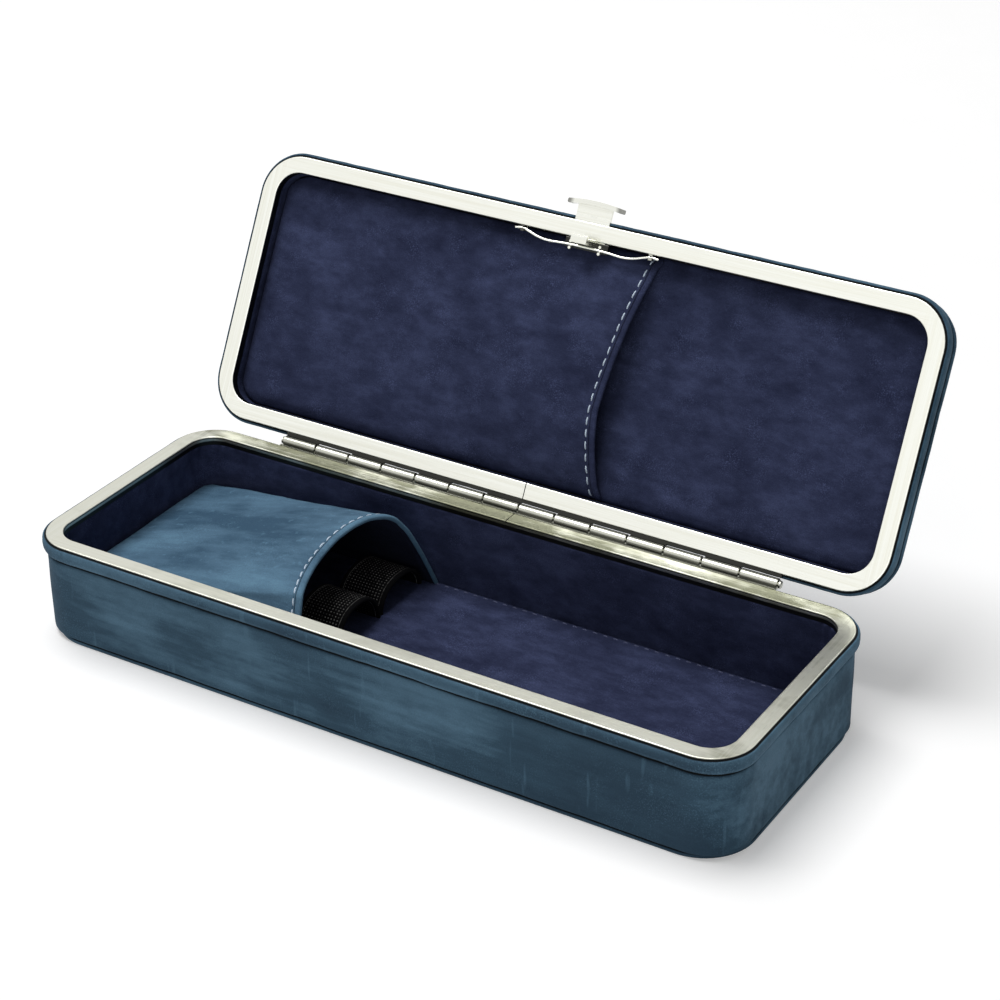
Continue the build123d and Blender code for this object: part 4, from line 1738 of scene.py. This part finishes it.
class PENCASE_OT_pen_loops(bpy.types.Operator):
    """Arch three bands of woven elastic over the floor"""

    bl_idname = "pencase.pen_loops"
    bl_label = "Pen loops"

    def execute(self, context):
        floor = body_sizes().floor_top
        soft = soft_sizes()
        radius = soft.loop_radius
        width = soft.loop_width - soft.loop_thick
        fine = WEAVE_POINTS / soft.weave
        sideways = np.linspace(-width / 2, width / 2, int(width * fine))
        angles = np.linspace(0, math.pi, int(math.pi * radius * fine))
        across, angle = np.meshgrid(sideways, angles, indexing="ij")
        along = angle * radius
        edge = ease((np.abs(across) - width / 2 + 1.0) / 0.5)
        turn_rate = 2 * math.pi / soft.weave
        knots = np.sin(across * turn_rate) * np.sin(along * turn_rate)
        thick = radius - 0.08 + 0.03 * knots * (1 - edge) + 0.08 * edge
        strip = np.stack([across, along, edge], axis=2)
        slumps = {"front": (1.0, 0.0), "middle": (1.04, -0.8), "rear": (0.84, -1.0)}
        for name, (rise, shift) in slumps.items():
            low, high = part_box("pen_loop_" + name)
            middle_x = (low.x + high.x) / 2 / MM + shift
            middle_y = (low.y + high.y) / 2 / MM
            squash = rise * (1 - 0.05 * bump(angle, math.pi / 2, 0.5))
            y = middle_y - np.cos(angle) * thick
            z = floor - 0.15 + np.sin(angle) * thick * squash
            grid = np.stack([middle_x + across, y, z], axis=2)
            normals = grid_normals(grid, (middle_x, middle_y, floor))
            label = "pen_loop_elastic_" + name
            loop = sheet_object(label, grid, normals, soft.loop_thick, strip)
            material = woven_elastic("woven_elastic")
            settle(loop, BASE_BODY, material, ["pen_loop_" + name])
            flat = (width * MM, longest(grid, 1))
        return {"FINISHED"}


class PENCASE_OT_lid_pocket(bpy.types.Operator):
    """Sew the slack suede pocket on the lid's lining"""

    bl_idname = "pencase.lid_pocket"
    bl_label = "Lid pocket"

    def execute(self, context):
        s = body_sizes()
        soft = soft_sizes()
        half = s.width / 2 - s.flange - 0.55
        wall_x = -s.length / 2 + s.flange + 0.65
        thick = soft.pocket_thick
        shift = soft.pocket_shift
        mouth_x = soft.pocket_mouth
        hem = soft.pocket_hem
        distances = edge_distances(mouth_x - wall_x, hem)
        columns = []
        for y in np.linspace(-half, half, POCKET_STEPS):
            rear = y > shift
            part = (y - shift) / (half - shift) if rear else (shift - y) / (half + shift)
            dip = soft.pocket_dip_rear if rear else soft.pocket_dip
            x = row_places(mouth_x + dip * part**1.4, wall_x, distances)
            opened = ease((x + 60) / (mouth_x + 64))
            slack = between(0.5, soft.pocket_slack - thick, opened)
            z = -slack * (1 - part**2) ** 0.8
            columns.append(np.stack([x, np.full(x.shape, y), z], axis=1))
        grid = keep_in_corners(np.stack(columns, axis=1), 0.5)
        x, y, z = np.moveaxis(grid, 2, 0)
        z += panel_height(x, y) - thick - 0.05
        inner = ease(case_plan().depth(x, y) / 6 - 1)
        folds = ripples(grid, (0.3, 22, 16), (0.1, 7, 17)) * inner
        z -= folds + hem_lift(distances, hem, 0.1)
        normals = grid_normals(grid, (-40, 0, 200))
        pocket = sheet_object("lid_pocket_suede", grid, normals, thick)
        line_with_suede(pocket, LID_BODY, "lid_pocket")
        row = int(np.argmin(np.abs(distances - hem)))
        sew_hem(pocket, LID_BODY, grid, normals, row, 2, 2)
        return {"FINISHED"}


def seen_rays(graph):
    """1 for what the camera sees, directly, in gloss or through glass, and 0 for light."""
    rays = graph.node("ShaderNodeLightPath").outputs
    seen = graph.most(rays["Is Camera Ray"], rays["Is Glossy Ray"])
    return graph.most(seen, rays["Is Transmission Ray"])


def lay_floor(stage):
    """The pale floor, a little brighter to the camera than its light makes it."""
    mesh = bpy.data.meshes.new("floor")
    square = ((-1, -1, 0), (1, -1, 0), (1, 1, 0), (-1, 1, 0))
    mesh.from_pydata([Vector(corner) * FLOOR_REACH for corner in square], [], [(0, 1, 2, 3)])
    made, graph, shader, vector = new_material("floor_paint")
    tone = graph.span(graph.clouds(vector, 40, 2, 0.5), 0.3, 0.7, 0.985, 1.0)
    graph.feed(shader["Base Color"], graph.shaded(solid(stage.floor), tone))
    glow = graph.span(seen_rays(graph), 0, 1, 0, stage.glow)
    graph.feed(shader["Emission Strength"], glow)
    shader["Emission Color"].default_value = (1, 1, 1, 1)
    shader["Roughness"].default_value = 0.9
    shader["Specular IOR Level"].default_value = 0.1
    mesh.materials.append(made)
    link("floor", mesh)


def light_sky(stage):
    """A white world, weaker as a light than the camera sees it."""
    world = bpy.data.worlds.new("studio")
    bpy.context.scene.world = world
    world.use_nodes = True
    graph = Graph(world.node_tree)
    backdrop = world.node_tree.nodes["Background"].inputs
    backdrop["Color"].default_value = (1, 1, 1, 1)
    graph.feed(backdrop["Strength"], graph.span(seen_rays(graph), 0, 1, stage.sky, 1.0))


def hang_lamp(name, power, across, where):
    """A square lamp that points at the case."""
    lamp = bpy.data.lights.new(name, "AREA")
    lamp.energy = power
    lamp.size = across
    lamp.color = (1.0, 1.0, 1.0)
    holder = link(name, lamp)
    holder.location = where
    aim = Vector(LAMP_TARGET) - Vector(where)
    holder.rotation_euler = aim.to_track_quat("-Z", "Y").to_euler()


def place_camera(stage):
    """The camera at its distance from its target."""
    eye = bpy.data.cameras.new("camera")
    eye.sensor_width = 36
    eye.lens = stage.lens
    eye.shift_x = stage.shift_x
    eye.shift_y = stage.shift_y
    eye.clip_start = 0.01
    eye.clip_end = 20
    holder = link("camera", eye)
    matrix = Matrix.Translation((0, stage.target_y, stage.target_z))
    matrix = matrix @ Matrix.Rotation(stage.azimuth, 4, "Z")
    matrix = matrix @ Matrix.Rotation(math.pi / 2 - stage.elevation, 4, "X")
    matrix = matrix @ Matrix.Rotation(stage.roll, 4, "Z")
    holder.matrix_world = matrix @ Matrix.Translation((0, 0, stage.distance))
    bpy.context.scene.camera = holder


class PENCASE_OT_stage(bpy.types.Operator):
    """Set up the floor, the lamps, the sky and the camera"""

    bl_idname = "pencase.stage"
    bl_label = "Stage"

    def execute(self, context):
        stage = context.scene.pencase_stage
        context.scene.view_settings.view_transform = "Standard"
        lay_floor(stage)
        light_sky(stage)
        hang_lamp("key_lamp", stage.key, 1.2, (-0.55, 0.0, 1.9))
        hang_lamp("fill_lamp", stage.fill, 0.6, (0.35, -1.15, 0.3))
        place_camera(stage)
        return {"FINISHED"}


# Panel and registering

OPERATORS = (
    PENCASE_OT_stage,
    PENCASE_OT_metalwork,
    PENCASE_OT_base_cover,
    PENCASE_OT_rim_bands,
    PENCASE_OT_lid_cover,
    PENCASE_OT_wall_linings,
    PENCASE_OT_floor_pad,
    PENCASE_OT_pen_flap,
    PENCASE_OT_pen_loops,
    PENCASE_OT_lid_panel,
    PENCASE_OT_lid_pocket,
)
GROUPS = {
    "pencase_body": PENCASE_PG_body,
    "pencase_soft": PENCASE_PG_soft,
    "pencase_thread": PENCASE_PG_thread,
    "pencase_finish": PENCASE_PG_finish,
    "pencase_stage": PENCASE_PG_stage,
}


class PENCASE_PT_panel(bpy.types.Panel):
    """Sizes, colours and steps of the pen case"""

    bl_label = "Pen case"
    bl_idname = "PENCASE_PT_panel"
    bl_space_type = "VIEW_3D"
    bl_region_type = "UI"
    bl_category = "Pen case"

    def draw(self, context):
        for key, group in GROUPS.items():
            box = self.layout.box()
            box.label(text=group.__doc__)
            for name in group.__annotations__:
                box.prop(getattr(context.scene, key), name)
        for operator in OPERATORS:
            self.layout.operator(operator.bl_idname)


def register():
    """Makes the classes and the scene's settings known to Blender."""
    for made in (*GROUPS.values(), *OPERATORS, PENCASE_PT_panel):
        bpy.utils.register_class(made)
    for key, group in GROUPS.items():
        setattr(bpy.types.Scene, key, bpy.props.PointerProperty(type=group))


def unregister():
    """Takes them away again."""
    for key in GROUPS:
        delattr(bpy.types.Scene, key)
    for made in (PENCASE_PT_panel, *reversed(OPERATORS), *reversed(GROUPS.values())):
        bpy.utils.unregister_class(made)


def main():
    """Builds everything."""
    register()
    for operator in OPERATORS:
        group, name = operator.bl_idname.split(".")
        getattr(getattr(bpy.ops, group), name)()


if __name__ == "__main__":
    main()
